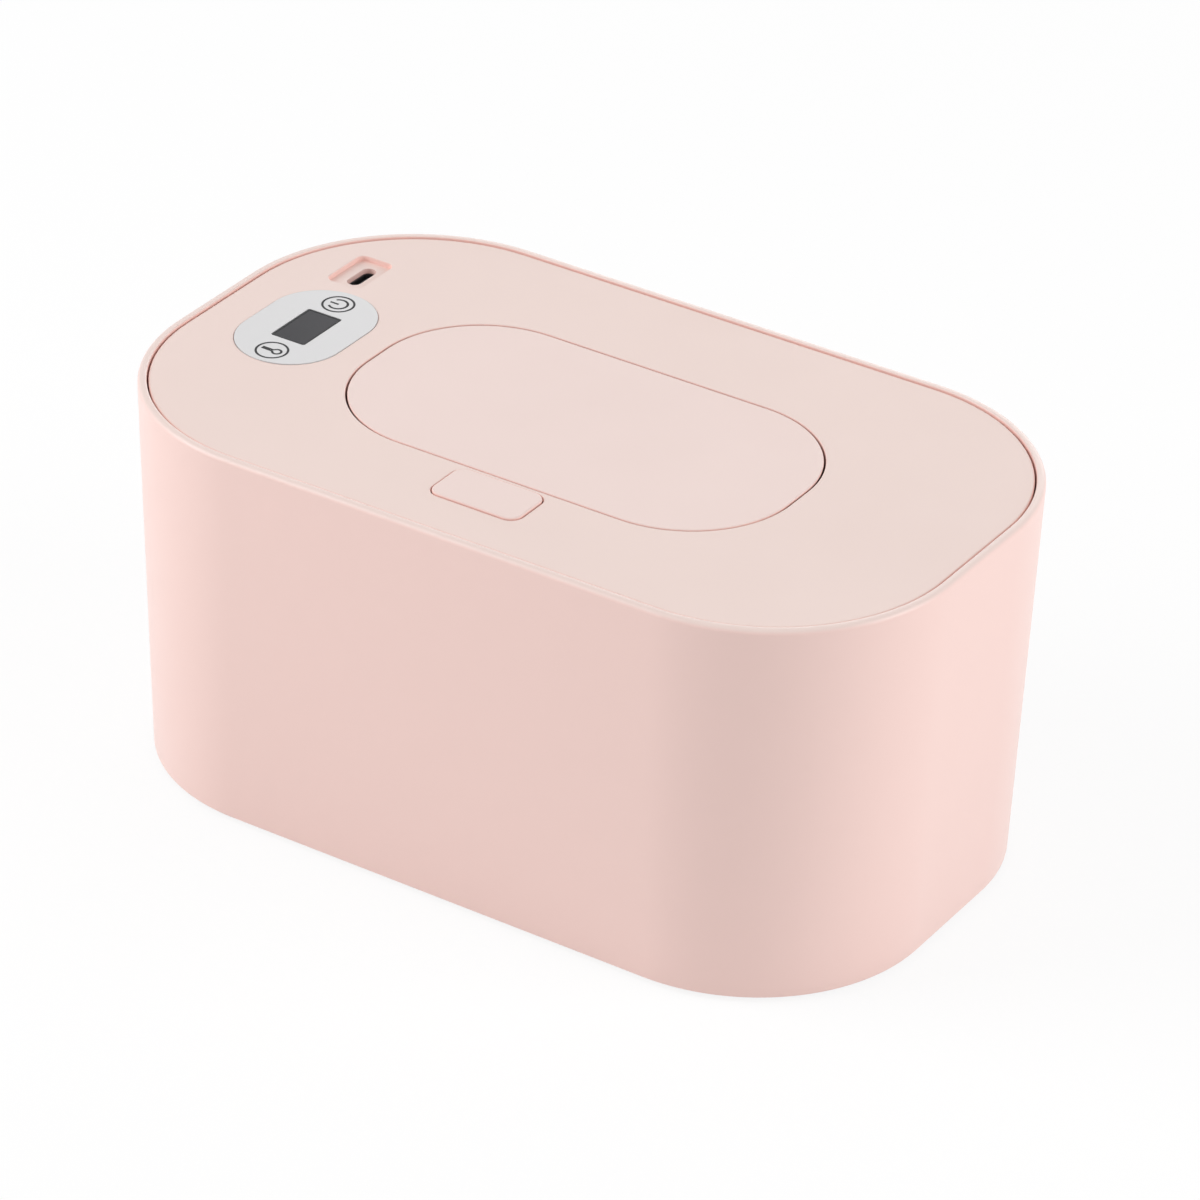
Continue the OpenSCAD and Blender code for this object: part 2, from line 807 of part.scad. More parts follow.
module inlet_cuts() {
  translate([recess_x, recess_y, 0]) {
    recess_slab(recess_r, recess_z, cover_z + cut);
    opening_edge(recess_w / 2 - recess_r, recess_l / 2 - recess_r, recess_r);
  }
  translate([inlet_x, inlet_y, 0]) inlet_slab(inlet_gap, recess_z - recess_floor_t - cut, cover_z);
}

module cover_liner() {
  color(white) difference() {
    slab(cx, cy, liner_r, cover_bottom, liner_top);
    translate([0, heater_y, 0]) slab(heater_cx, 0, heater_r + heater_gap, cover_bottom - cut, film_top);
    translate([0, outlet_y, 0]) slab(outlet_cx, 0, outlet_r, cover_bottom - cut, liner_top + cut);
    block(
      [bay_x - bay_w / 2, heater_y - bay_l / 2, cover_bottom],
      [bay_x + bay_w / 2, heater_y + bay_l / 2, liner_top + cut]
    );
    at_each(liner_posts, cover_bottom - cut) {
      cylinder(r = screw_r + screw_play, h = liner_t + 2 * cut);
      cylinder(r = screw_head_r + head_play, h = liner_head_z - cover_bottom + cut);
    }
  }
  color(white) translate([0, outlet_y, 0]) difference() {
    slab(outlet_cx, 0, heater_hole - heater_gap, cover_bottom, film_top);
    slab(outlet_cx, 0, outlet_r, cover_bottom - cut, film_top + cut);
  }
}

module cover_seal() {
  seal_r = skirt_r(cover_bottom);
  color([0.88, 0.88, 0.87]) sweep(cx, cy) translate([seal_r - seal_w, cover_bottom - seal_t]) difference() {
    square([seal_w, seal_t]);
    for (sx = [-1, 1]) corner_waste(sx > 0 ? seal_w : 0, 0, seal_t / 3, sx, -1);
  }
}

module liner_screws() {
  color(steel) at_each(liner_posts, liner_head_z)
    screw(screw_r, screw_head_r, liner_head_h, liner_screw_l);
}

module heater_plate() {
  color([0.80, 0.81, 0.82]) difference() {
    translate([0, heater_y, 0]) slab(heater_cx, 0, heater_r, cover_bottom, film_z);
    translate([0, outlet_y, 0]) slab(outlet_cx, 0, heater_hole, cover_bottom - cut, film_z + cut);
  }
}

module heater_film() {
  color([0.78, 0.45, 0.14]) difference() {
    translate([0, heater_y, 0]) slab(heater_cx, 0, heater_r - film_in, film_z, film_top);
    translate([0, outlet_y, 0]) slab(outlet_cx, 0, heater_hole + film_in / 2, film_z - cut, film_top + cut);
  }
}

module heater_pad() {
  pad_r = outlet_r + collar_t + 2 * pad_gap;
  color([0.88, 0.88, 0.84]) translate([0, outlet_y, 0]) difference() {
    slab(outlet_cx, 0, pad_r + pad_w, liner_top, pad_top);
    slab(outlet_cx, 0, pad_r, liner_top - cut, pad_top + cut);
  }
}

module thermistor() {
  color([0.1, 0.1, 0.1]) translate([bay_x, sensor_y, film_top]) {
    translate([0, 0, bead_r]) sphere(r = bead_r);
    block([-bead_pad_l / 2, -bead_pad_w / 2, 0], [bead_pad_l / 2, bead_pad_w / 2, bead_pad_t]);
  }
}

module thermal_fuse() {
  color([0.85, 0.83, 0.78]) translate([bay_x, fuse_y - fuse_l / 2, film_top + fuse_r])
    rotate([-90, 0, 0]) cylinder(r = fuse_r, h = fuse_l);
}

// Two leads side by side, from the heating film up to their plug
module lead_pair(y, pitch, r) {
  for (s = [-1, 1]) translate([bay_x + s * pitch / 2, y, film_top]) cylinder(r = r, h = lead_top - film_top);
}

module heater_leads() {
  color([0.75, 0.12, 0.1]) lead_pair(lead_y, lead_pitch, lead_r);
}

module sensor_leads() {
  color([0.12, 0.12, 0.12]) lead_pair(sensor_lead_y, sensor_lead_pitch, sensor_lead_r);
}

module control_board() {
  color([0.10, 0.32, 0.18]) difference() {
    translate([board_x, board_y, 0])
      slab(board_w / 2 - board_r, board_l / 2 - board_r, board_r, board_under, board_z);
    at_each(board_posts, board_under - cut) cylinder(r = screw_r + screw_play, h = board_t + 2 * cut);
  }
}

module board_parts() {
  color(dark) translate([board_x, board_y, board_under]) {
    translate([-chip_out, -chip_out, 0]) hang_block(chip_l, chip_l, chip_h);
    translate([memory_x, memory_y, 0]) hang_block(memory_l, memory_w, memory_h);
    translate([relay_x, relay_y, 0]) hang_block(relay_l, relay_w, relay_h);
  }
  color(white) for (y = [lead_y, sensor_lead_y])
    translate([bay_x, y, board_under]) hang_block(plug_l, plug_w, plug_h);
}

// A box that hangs from z = 0
module hang_block(length, width, height) {
  block([-length / 2, -width / 2, -height], [length / 2, width / 2, 0]);
}

module board_screws() {
  color(steel) at_each(board_posts, board_under)
    screw(screw_r, screw_head_r, board_head_h, board_t + board_screw_bite);
}

module touch_springs() {
  color([0.80, 0.70, 0.35]) for (s = [-1, 1])
    translate([panel_x, panel_y + s * key_pitch, board_z])
      coil(key_spring_r, key_wire, 5, under_cover - board_z);
}

module display_module() {
  color(dark) translate([panel_x + window_shift, panel_y, board_z + display_h])
    hang_block(window_w, window_l, display_h);
}

module display_window() {
  color([0.2, 0.2, 0.21]) translate([panel_x, panel_y, 0])
    window_slab(0, under_cover, panel_top - window_sink);
}

module control_panel() {
  color([0.87, 0.88, 0.88]) translate([panel_x, panel_y, 0]) difference() {
    rotate([0, 0, 90]) slab(panel_cy, 0, panel_r, panel_seat, panel_top);
    window_slab(window_gap, panel_seat - cut, panel_top + cut);
  }
}

module power_inlet() {
  color(steel) translate([inlet_x, inlet_y, 0]) difference() {
    inlet_slab(0, board_z, inlet_top);
    inlet_slab(-inlet_wall, inlet_top - mouth_depth, inlet_top + cut);
  }
  color(dark) translate([inlet_x, inlet_y, inlet_top]) block(
    [-tongue_w / 2, tongue_in - inlet_l / 2, -mouth_depth - weld],
    [tongue_w / 2, inlet_l / 2 - tongue_in, -tongue_low]
  );
}

// Flip lid

module flip_lid() {
  under = cover_z - lid_t;
  profile = [
    [0, cover_z],
    [lid_r, cover_z],
    [lid_r, cover_z - lid_straight],
    [lid_r - lid_bevel, under],
    [0, under]
  ];
  color(cover_pink) difference() {
    union() {
      translate([0, lid_y, 0]) {
        sweep(lid_cx, lid_cy) difference() {
          polygon(profile);
          corner_waste(lid_r, cover_z, lid_edge, 1, 1);
        }
        block([-lid_cx, -lid_cy, under], [lid_cx, lid_cy, cover_z]);
      }
      for (s = [-1, 1]) scale([s, 1, 1]) along_x(arm_x - arm_w / 2, arm_x + arm_w / 2) arm_profile();
      along_x(-catch_w / 2, catch_w / 2) catch_profile();
    }
    for (s = [-1, 1]) scale([s, 1, 1])
      bar_x(arm_x - arm_w / 2 - cut, arm_x + arm_w / 2 + cut, axis_y, axis_z, pin_r + pin_play);
  }
}

// The goose-neck arm: its throat swings past the edge of the cover's top
module arm_profile() {
  top = hinge_depth - lid_t + weld;
  foot = throat_floor + arm_t;
  heel = arm_t / 2;
  translate([axis_y, axis_z]) {
    circle(r = eye_r);
    translate([-eye_r, -foot]) square([2 * eye_r, foot]);
    difference() {
      intersection() {
        translate([-neck_r, -foot]) square([neck_r, foot + top]);
        circle(r = neck_r + heel);
      }
      intersection() {
        circle(r = throat_r);
        translate([-throat_r, -throat_floor]) square([throat_r, 2 * throat_r]);
      }
    }
  }
}

module catch_profile() {
  root_z = cover_z - lid_t + weld;
  nose_z = catch_top - catch_h;
  polygon([
    [catch_tip + catch_reach, root_z],
    [catch_tip + catch_reach, catch_top],
    [catch_tip, catch_top],
    [catch_tip, catch_top - catch_h / 3],
    [catch_tip + catch_reach, nose_z],
    [catch_tip + catch_reach + catch_t, nose_z],
    [catch_tip + catch_reach + catch_t, root_z]
  ]);
}

module lid_lining() {
  color(white) translate([0, outlet_y, 0]) slab(outlet_cx, 0, lining_r, lining_z, cover_z - lid_t);
}

module lid_gasket() {
  color([0.88, 0.88, 0.87]) translate([0, outlet_y, 0]) difference() {
    slab(outlet_cx, 0, gasket_r + gasket_w, gasket_z, lining_z);
    slab(outlet_cx, 0, gasket_r, gasket_z - cut, lining_z + cut);
  }
}

module hinge_pins() {
  color(steel) for (s = [-1, 1]) scale([s, 1, 1])
    bar_x(pin_x0, pin_x1, axis_y, axis_z, pin_r);
}

module hinge_springs() {
  turns = 5;
  length = turns * (hinge_spring_wire + hinge_spring_play) + hinge_spring_wire;
  color(steel) for (s = [-1, 1]) scale([s, 1, 1])
    translate([arm_x + arm_w / 2 + hinge_gap, axis_y, axis_z]) rotate([0, 90, 0])
      coil(hinge_spring_r, hinge_spring_wire, turns, length);
}

// Push latch

module latch_button() {
  color(cover_pink) {
    translate([0, button_y, 0]) {
      sweep(button_cx, button_cy) difference() {
        translate([0, button_flange_z - flange_h])
          square([button_r, button_top - button_flange_z + flange_h]);
        corner_waste(button_r, button_top, button_edge, 1, 1);
      }
      block([-button_cx, -button_cy, button_flange_z - flange_h], [button_cx, button_cy, button_top]);
    }
    block(
      [-button_l / 2 - flange_out, button_front - flange_out, button_flange_z - flange_h],
      [button_l / 2 + flange_out, button_rear - button_r, button_flange_z]
    );
    for (s = [-1, 1]) scale([s, 1, 1]) along_x(ramp_x - ramp_w / 2, ramp_x + ramp_w / 2) polygon([
      [leg_rear - leg_w, button_flange_z - flange_h / 2],
      [leg_rear, button_flange_z - flange_h / 2],
      [leg_rear, leg_tip],
      [leg_rear - leg_w, leg_tip + leg_w]
    ]);
  }
}

module latch_slider() {
  ramp_top = leg_tip + leg_w - leg_gap;
  shift = ramp_gap * sqrt(2);
  function ramp_y(z) = leg_rear - (z - leg_tip) - shift;
  bar_rear = ramp_y(ramp_top) - leg_gap;
  color(white) {
    for (s = [-1, 1]) scale([s, 1, 1]) along_x(ramp_x - ramp_w / 2, ramp_x + ramp_w / 2) polygon([
      [slider_front, slider_z],
      [slider_front, ramp_top],
      [ramp_y(ramp_top), ramp_top],
      [ramp_y(slider_z), slider_z]
    ]);
    block([-slider_x, slider_front, slider_z], [slider_x, bar_rear, slider_z + bar_h]);
    block([-hook_w / 2, bar_rear - cut, slider_z], [hook_w / 2, hook_rear, slider_z + slider_t]);
    along_x(-hook_w / 2, hook_w / 2) polygon([
      [hook_front, slider_z],
      [hook_rear, slider_z],
      [hook_rear, hook_top - hook_t],
      [catch_tip - hook_short, hook_top - hook_t],
      [catch_tip - hook_short, hook_top - hook_t / 2],
      [catch_tip - hook_short - hook_t / 2, hook_top],
      [hook_front, hook_top]
    ]);
  }
}

module latch_spring() {
  color(steel) translate([0, slider_front - touch_gap, slider_z + bar_h / 2]) rotate([90, 0, 0])
    coil(latch_coil_r, latch_wire, 5, spring_len - 2 * touch_gap);
}

outer_shell();
inner_tub();
tub_foam();
base_plate();
rubber_feet();
base_screws();
top_cover();
cover_liner();
cover_seal();
liner_screws();
heater_plate();
heater_film();
heater_pad();
thermistor();
thermal_fuse();
control_board();
board_parts();
board_screws();
touch_springs();
display_module();
display_window();
control_panel();
power_inlet();
heater_leads();
sensor_leads();
flip_lid();
lid_lining();
lid_gasket();
hinge_pins();
hinge_springs();
latch_button();
latch_slider();
latch_spring();
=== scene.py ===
import bpy
import bmesh
import math
from mathutils import Matrix, Vector


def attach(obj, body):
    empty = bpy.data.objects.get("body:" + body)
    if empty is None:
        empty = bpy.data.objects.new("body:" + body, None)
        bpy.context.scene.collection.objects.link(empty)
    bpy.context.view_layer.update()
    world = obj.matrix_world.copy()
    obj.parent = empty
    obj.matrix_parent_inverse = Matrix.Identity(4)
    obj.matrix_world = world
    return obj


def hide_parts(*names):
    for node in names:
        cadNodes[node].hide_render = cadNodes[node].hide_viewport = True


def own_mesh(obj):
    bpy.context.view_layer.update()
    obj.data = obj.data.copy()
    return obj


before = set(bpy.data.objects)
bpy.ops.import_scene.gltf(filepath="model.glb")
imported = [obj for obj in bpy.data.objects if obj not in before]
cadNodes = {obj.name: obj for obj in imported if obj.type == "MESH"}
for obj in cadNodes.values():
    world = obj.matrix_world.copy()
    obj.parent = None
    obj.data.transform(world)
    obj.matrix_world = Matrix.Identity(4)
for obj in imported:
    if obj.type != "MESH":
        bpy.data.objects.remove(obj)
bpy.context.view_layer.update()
mm = 0.001
print("stage: frame loaded,", len(cadNodes), "nodes")


cameraSettings = {
    "azimuth": 32.11,  # degrees round from the front, towards the end without the panel
    "elevation": 30.807,
    "roll": 1.80,
    "distance": 1.3783,
    "target": (0.00349, 0.00219, 0.05026),
    "lens": 182.16,
    "sensor": 36.0,
    "clip": (0.05, 50),
}


def lookFrom(azimuth, elevation):
    a, e = math.radians(azimuth), math.radians(elevation)
    return Vector((math.sin(a) * math.cos(e), -math.cos(a) * math.cos(e), math.sin(e)))


def placeCamera(s):
    back = lookFrom(s["azimuth"], s["elevation"])
    azimuth, roll = math.radians(s["azimuth"]), math.radians(s["roll"])
    right = Vector((math.cos(azimuth), math.sin(azimuth), 0))
    up = back.cross(right)
    c, n = math.cos(roll), math.sin(roll)
    right, up = c * right + n * up, -n * right + c * up
    data = bpy.data.cameras.new("photoCamera")
    data.lens = s["lens"]
    data.sensor_width = s["sensor"]
    data.clip_start, data.clip_end = s["clip"]
    camera = bpy.data.objects.new("photoCamera", data)
    stand = Matrix((right, up, back)).transposed().to_4x4()
    stand.translation = Vector(s["target"]) + back * s["distance"]
    camera.matrix_world = stand
    bpy.context.scene.collection.objects.link(camera)
    bpy.context.scene.camera = camera


studioSettings = {
    "lights": {  # name: azimuth, elevation, distance, size, watts
        "softLeft": (-55, 32, 1.6, 1.1, 17.4),
        "softRight": (104, 24, 1.6, 1.0, 14.2),
        "softTop": (-20, 82, 1.5, 1.3, 2.6),
        "softBack": (195, 15, 1.6, 1.1, 5.5),
    },
    "aim": (0, 0, 0.05),
    "ambient": 0.40,  # what the object gets from all round
    "backdrop": 1.0,  # what the camera and reflections see
    "floorColour": (0.90, 0.90, 0.90),
    "floorGlow": 0.87,  # share of the floor that looks plain white, the rest takes shadow
    "floorSize": 6.0,
}


def addLight(name, azimuth, elevation, distance, size, watts, aim):
    data = bpy.data.lights.new(name, "AREA")
    data.shape = "SQUARE"
    data.size = size
    data.energy = watts
    light = bpy.data.objects.new(name, data)
    towards = lookFrom(azimuth, elevation)
    facing = towards.to_track_quat("Z", "Y").to_matrix().to_4x4()
    light.matrix_world = Matrix.Translation(Vector(aim) + towards * distance) @ facing
    bpy.context.scene.collection.objects.link(light)


def viewRays(nodes, links):  # 1 for the camera, reflections and clear pieces, 0 for lighting
    path = nodes.new("ShaderNodeLightPath")
    first = nodes.new("ShaderNodeMath")
    first.operation = "MAXIMUM"
    second = nodes.new("ShaderNodeMath")
    second.operation = "MAXIMUM"
    links.new(path.outputs["Is Camera Ray"], first.inputs[0])
    links.new(path.outputs["Is Glossy Ray"], first.inputs[1])
    links.new(first.outputs[0], second.inputs[0])
    links.new(path.outputs["Is Transmission Ray"], second.inputs[1])
    return second.outputs[0]


def addWorld(s):
    world = bpy.data.worlds.new("studioWorld")
    bpy.context.scene.world = world
    world.use_nodes = True
    nodes, links = world.node_tree.nodes, world.node_tree.links
    nodes.clear()
    mix = nodes.new("ShaderNodeMixShader")
    links.new(viewRays(nodes, links), mix.inputs["Fac"])
    for socket, strength in ((1, s["ambient"]), (2, s["backdrop"])):
        sky = nodes.new("ShaderNodeBackground")
        sky.inputs["Color"].default_value = (1, 1, 1, 1)
        sky.inputs["Strength"].default_value = strength
        links.new(sky.outputs[0], mix.inputs[socket])
    links.new(mix.outputs[0], nodes.new("ShaderNodeOutputWorld").inputs["Surface"])


def addFloor(s):
    h = s["floorSize"] / 2
    mesh = bpy.data.meshes.new("floor")
    mesh.from_pydata([(-h, -h, 0), (h, -h, 0), (h, h, 0), (-h, h, 0)], [], [(0, 1, 2, 3)])
    floor = bpy.data.objects.new("floor", mesh)
    bpy.context.scene.collection.objects.link(floor)
    material = bpy.data.materials.new("paleFloor")
    material.use_nodes = True
    nodes, links = material.node_tree.nodes, material.node_tree.links
    nodes.clear()
    paper = nodes.new("ShaderNodeBsdfDiffuse")
    paper.inputs["Color"].default_value = (*s["floorColour"], 1)
    glow = nodes.new("ShaderNodeEmission")
    share = nodes.new("ShaderNodeMath")
    share.operation = "MULTIPLY"
    share.inputs[1].default_value = s["floorGlow"]
    mix = nodes.new("ShaderNodeMixShader")
    links.new(viewRays(nodes, links), share.inputs[0])
    links.new(share.outputs[0], mix.inputs["Fac"])
    links.new(paper.outputs[0], mix.inputs[1])
    links.new(glow.outputs[0], mix.inputs[2])
    links.new(mix.outputs[0], nodes.new("ShaderNodeOutputMaterial").inputs["Surface"])
    floor.data.materials.append(material)


placeCamera(cameraSettings)
for lightName, values in studioSettings["lights"].items():
    addLight(lightName, *values, studioSettings["aim"])
addWorld(studioSettings)
addFloor(studioSettings)
bpy.context.scene.view_settings.view_transform = "Standard"
print("stage: camera and studio")


noiseSpan = (0.3, 0.7)  # where most of a noise's values lie
lookSamples = {"edge": 4, "paintedGapGlow": 6}  # rays at each shaded point


def newFinish(name):
    material = bpy.data.materials.new(name)
    material.use_nodes = True
    nodes, links = material.node_tree.nodes, material.node_tree.links
    nodes.clear()
    shader = nodes.new("ShaderNodeBsdfPrincipled")
    links.new(shader.outputs[0], nodes.new("ShaderNodeOutputMaterial").inputs["Surface"])
    spot = nodes.new("ShaderNodeTexCoord").outputs["Object"]
    return material, nodes, links, shader, spot


def noiseAt(nodes, links, spot, scale, detail=2.0, stretch=None):
    if stretch:
        mapping = nodes.new("ShaderNodeMapping")
        mapping.inputs["Scale"].default_value = stretch
        links.new(spot, mapping.inputs["Vector"])
        spot = mapping.outputs[0]
    noise = nodes.new("ShaderNodeTexNoise")
    noise.inputs["Scale"].default_value = scale
    noise.inputs["Detail"].default_value = detail
    links.new(spot, noise.inputs["Vector"])
    return noise.outputs["Fac"]


def rangeOf(nodes, links, value, low, high, span=noiseSpan):
    node = nodes.new("ShaderNodeMapRange")
    node.inputs["From Min"].default_value, node.inputs["From Max"].default_value = span
    node.inputs["To Min"].default_value = low
    node.inputs["To Max"].default_value = high
    links.new(value, node.inputs["Value"])
    return node.outputs[0]


def mixColours(nodes, links, value, first, second):
    node = nodes.new("ShaderNodeMix")
    node.data_type = "RGBA"
    node.inputs[6].default_value = (*first, 1)  # 6 and 7 are a Mix node's colours, 2 their mixture
    node.inputs[7].default_value = (*second, 1)
    links.new(value, node.inputs[0])
    return node.outputs[2]


def overlaid(nodes, links, factor, under, over):  # a plain colour laid over a colour output
    mixed = mixColours(nodes, links, factor, over, over)
    links.new(under, mixed.node.inputs[6])
    return mixed


def bumpOf(nodes, links, height, distance, under=None):
    node = nodes.new("ShaderNodeBump")
    node.inputs["Strength"].default_value = 1.0
    node.inputs["Distance"].default_value = distance
    links.new(height, node.inputs["Height"])
    if under:
        links.new(under, node.inputs["Normal"])
    return node.outputs[0]


def tinted(colour, factor):
    return tuple(min(1.0, max(0.0, c * factor)) for c in colour)


def eased(nodes, radius):  # a normal that rounds sharp edges, so that they catch the light
    node = nodes.new("ShaderNodeBevel")
    node.samples = lookSamples["edge"]
    node.inputs["Radius"].default_value = radius
    return node.outputs[0]


def paintedSideShadeFactor(nodes, links, spot, span):  # 0 where a face looks up, 1 where it looks sideways
    # painted shade: this mask sets where the deeper side pink is painted
    split = nodes.new("ShaderNodeSeparateXYZ")
    links.new(spot.node.outputs["Normal"], split.inputs[0])
    side = rangeOf(nodes, links, split.outputs["Z"], 0, 1, span)
    side.node.interpolation_type = "SMOOTHSTEP"
    return side


def paintedGapGlowFactor(nodes, links, reach, share, span):  # grows down in gaps and corners
    # painted glow: occlusion sets where the warm gap pink is painted
    paintedGapGlow = nodes.new("ShaderNodeAmbientOcclusion")
    paintedGapGlow.samples = lookSamples["paintedGapGlow"]
    paintedGapGlow.inputs["Distance"].default_value = reach
    return rangeOf(nodes, links, paintedGapGlow.outputs["AO"], 0, share, span)


def mouldedPlastic(name, s):  # flow mottling, a fine grain, a slightly uneven gloss and, where given, painted side shade and a painted glow in gaps
    material, nodes, links, shader, spot = newFinish(name)
    flow = noiseAt(nodes, links, spot, s["flowScale"], s["flowDetail"])
    spread = s["flowSpread"]
    dark, pale = tinted(s["colour"], 1 - spread), tinted(s["colour"], 1 + spread)
    colour = mixColours(nodes, links, rangeOf(nodes, links, flow, 0, 1), dark, pale)
    # painted shade: faces that look sideways get the deeper side pink
    if "side" in s:
        side = paintedSideShadeFactor(nodes, links, spot, s["sideSpan"])
        colour = overlaid(nodes, links, side, colour, s["side"])
    # painted glow: gaps and corners get the warm gap pink in place of bounced light
    if "paintedGapGlow" in s:
        paintedGapGlow = paintedGapGlowFactor(nodes, links, s["paintedGapGlowReach"], s["paintedGapGlowShare"], s["paintedGapGlowSpan"])
        colour = overlaid(nodes, links, paintedGapGlow, colour, s["paintedGapGlow"])
    links.new(colour, shader.inputs["Base Color"])
    gloss = noiseAt(nodes, links, spot, s["glossScale"], s["glossDetail"])
    low, high = s["roughness"] - s["roughSpread"], s["roughness"] + s["roughSpread"]
    links.new(rangeOf(nodes, links, gloss, low, high), shader.inputs["Roughness"])
    grain = noiseAt(nodes, links, spot, s["grainScale"], s["grainDetail"])
    wave = noiseAt(nodes, links, spot, s["waveScale"], s["waveDetail"])
    normal = bumpOf(nodes, links, wave, s["waveDepth"], under=eased(nodes, s["edge"]))
    normal = bumpOf(nodes, links, grain, s["grainDepth"], under=normal)
    links.new(normal, shader.inputs["Normal"])
    shader.inputs["IOR"].default_value = s["ior"]
    if "softLight" in s:  # light that goes into the material and out again
        shader.inputs["Subsurface Weight"].default_value = s["softLight"]
        shader.inputs["Subsurface Radius"].default_value = s["softRadius"]
        shader.inputs["Subsurface Scale"].default_value = s["softDepth"]
    return material


def plasticSettings(colour, roughness, **more):
    s = {  # scales are per metre, depths and the edge in metres
        "colour": colour, "roughness": roughness, "roughSpread": 0.03, "ior": 1.49, "edge": 0.00025,
        "flowScale": 18, "flowDetail": 3.0, "flowSpread": 0.012,
        "glossScale": 60, "glossDetail": 3.0,
        "grainScale": 2600, "grainDetail": 2.0, "grainDepth": 2.5e-6,
        "waveScale": 120, "waveDetail": 1.0, "waveDepth": 1.5e-6,
    }
    s.update(more)
    return s


def metalSettings(colour, roughness, stretch, **more):
    s = {
        "colour": colour, "roughness": roughness, "stretch": stretch,
        "lineScale": 900, "lineDetail": 3.0, "lineDepth": 1e-6,
        "darkLine": 0.92, "paleLine": 1.06, "smoother": 0.06, "rougher": 0.08,
    }
    s.update(more)
    return s


def rolledMetal(name, s):  # fine lines one way, as on rolled or drawn metal
    material, nodes, links, shader, spot = newFinish(name)
    lines = noiseAt(nodes, links, spot, s["lineScale"], s["lineDetail"], stretch=s["stretch"])
    dark, pale = tinted(s["colour"], s["darkLine"]), tinted(s["colour"], s["paleLine"])
    colour = mixColours(nodes, links, rangeOf(nodes, links, lines, 0, 1), dark, pale)
    links.new(colour, shader.inputs["Base Color"])
    low, high = s["roughness"] - s["smoother"], s["roughness"] + s["rougher"]
    links.new(rangeOf(nodes, links, lines, low, high), shader.inputs["Roughness"])
    links.new(bumpOf(nodes, links, lines, s["lineDepth"]), shader.inputs["Normal"])
    shader.inputs["Metallic"].default_value = 1.0
    return material


def foamSheet(name, s):  # closed cells
    material, nodes, links, shader, spot = newFinish(name)
    cells = nodes.new("ShaderNodeTexVoronoi")
    cells.inputs["Scale"].default_value = s["cellScale"]
    links.new(spot, cells.inputs["Vector"])
    depth = cells.outputs["Distance"]
    dark, pale = tinted(s["colour"], s["darkCell"]), tinted(s["colour"], s["paleCell"])
    links.new(mixColours(nodes, links, depth, dark, pale), shader.inputs["Base Color"])
    links.new(bumpOf(nodes, links, depth, s["cellDepth"]), shader.inputs["Normal"])
    patches = noiseAt(nodes, links, spot, s["patchScale"])
    links.new(rangeOf(nodes, links, patches, *s["roughness"]), shader.inputs["Roughness"])
    return material


def etchedFilm(name, s):  # amber film with the heater's tracks running along it
    material, nodes, links, shader, spot = newFinish(name)
    wave = nodes.new("ShaderNodeTexWave")
    wave.bands_direction = "Y"
    wave.wave_profile = "SIN"
    wave.inputs["Scale"].default_value = s["trackScale"]
    wave.inputs["Distortion"].default_value = 0.0
    links.new(spot, wave.inputs["Vector"])
    track = rangeOf(nodes, links, wave.outputs["Fac"], 0, 1, s["trackEdge"])
    links.new(mixColours(nodes, links, track, s["film"], s["track"]), shader.inputs["Base Color"])
    links.new(bumpOf(nodes, links, track, s["trackDepth"]), shader.inputs["Normal"])
    haze = noiseAt(nodes, links, spot, s["hazeScale"])
    links.new(rangeOf(nodes, links, haze, *s["roughness"]), shader.inputs["Roughness"])
    return material


def maskedBoard(name, s):  # green solder mask over faint copper tracks
    material, nodes, links, shader, spot = newFinish(name)
    tracks = nodes.new("ShaderNodeTexBrick")
    tracks.inputs["Scale"].default_value = s["trackScale"]
    tracks.inputs["Mortar Size"].default_value = s["trackWidth"]
    tracks.inputs["Color1"].default_value = (*s["colour"], 1)
    tracks.inputs["Color2"].default_value = (*tinted(s["colour"], s["paleField"]), 1)
    tracks.inputs["Mortar"].default_value = (*tinted(s["colour"], s["paleTrack"]), 1)
    links.new(spot, tracks.inputs["Vector"])
    links.new(tracks.outputs["Color"], shader.inputs["Base Color"])
    links.new(bumpOf(nodes, links, tracks.outputs["Fac"], s["trackDepth"]), shader.inputs["Normal"])
    haze = noiseAt(nodes, links, spot, s["hazeScale"])
    links.new(rangeOf(nodes, links, haze, *s["roughness"]), shader.inputs["Roughness"])
    return material


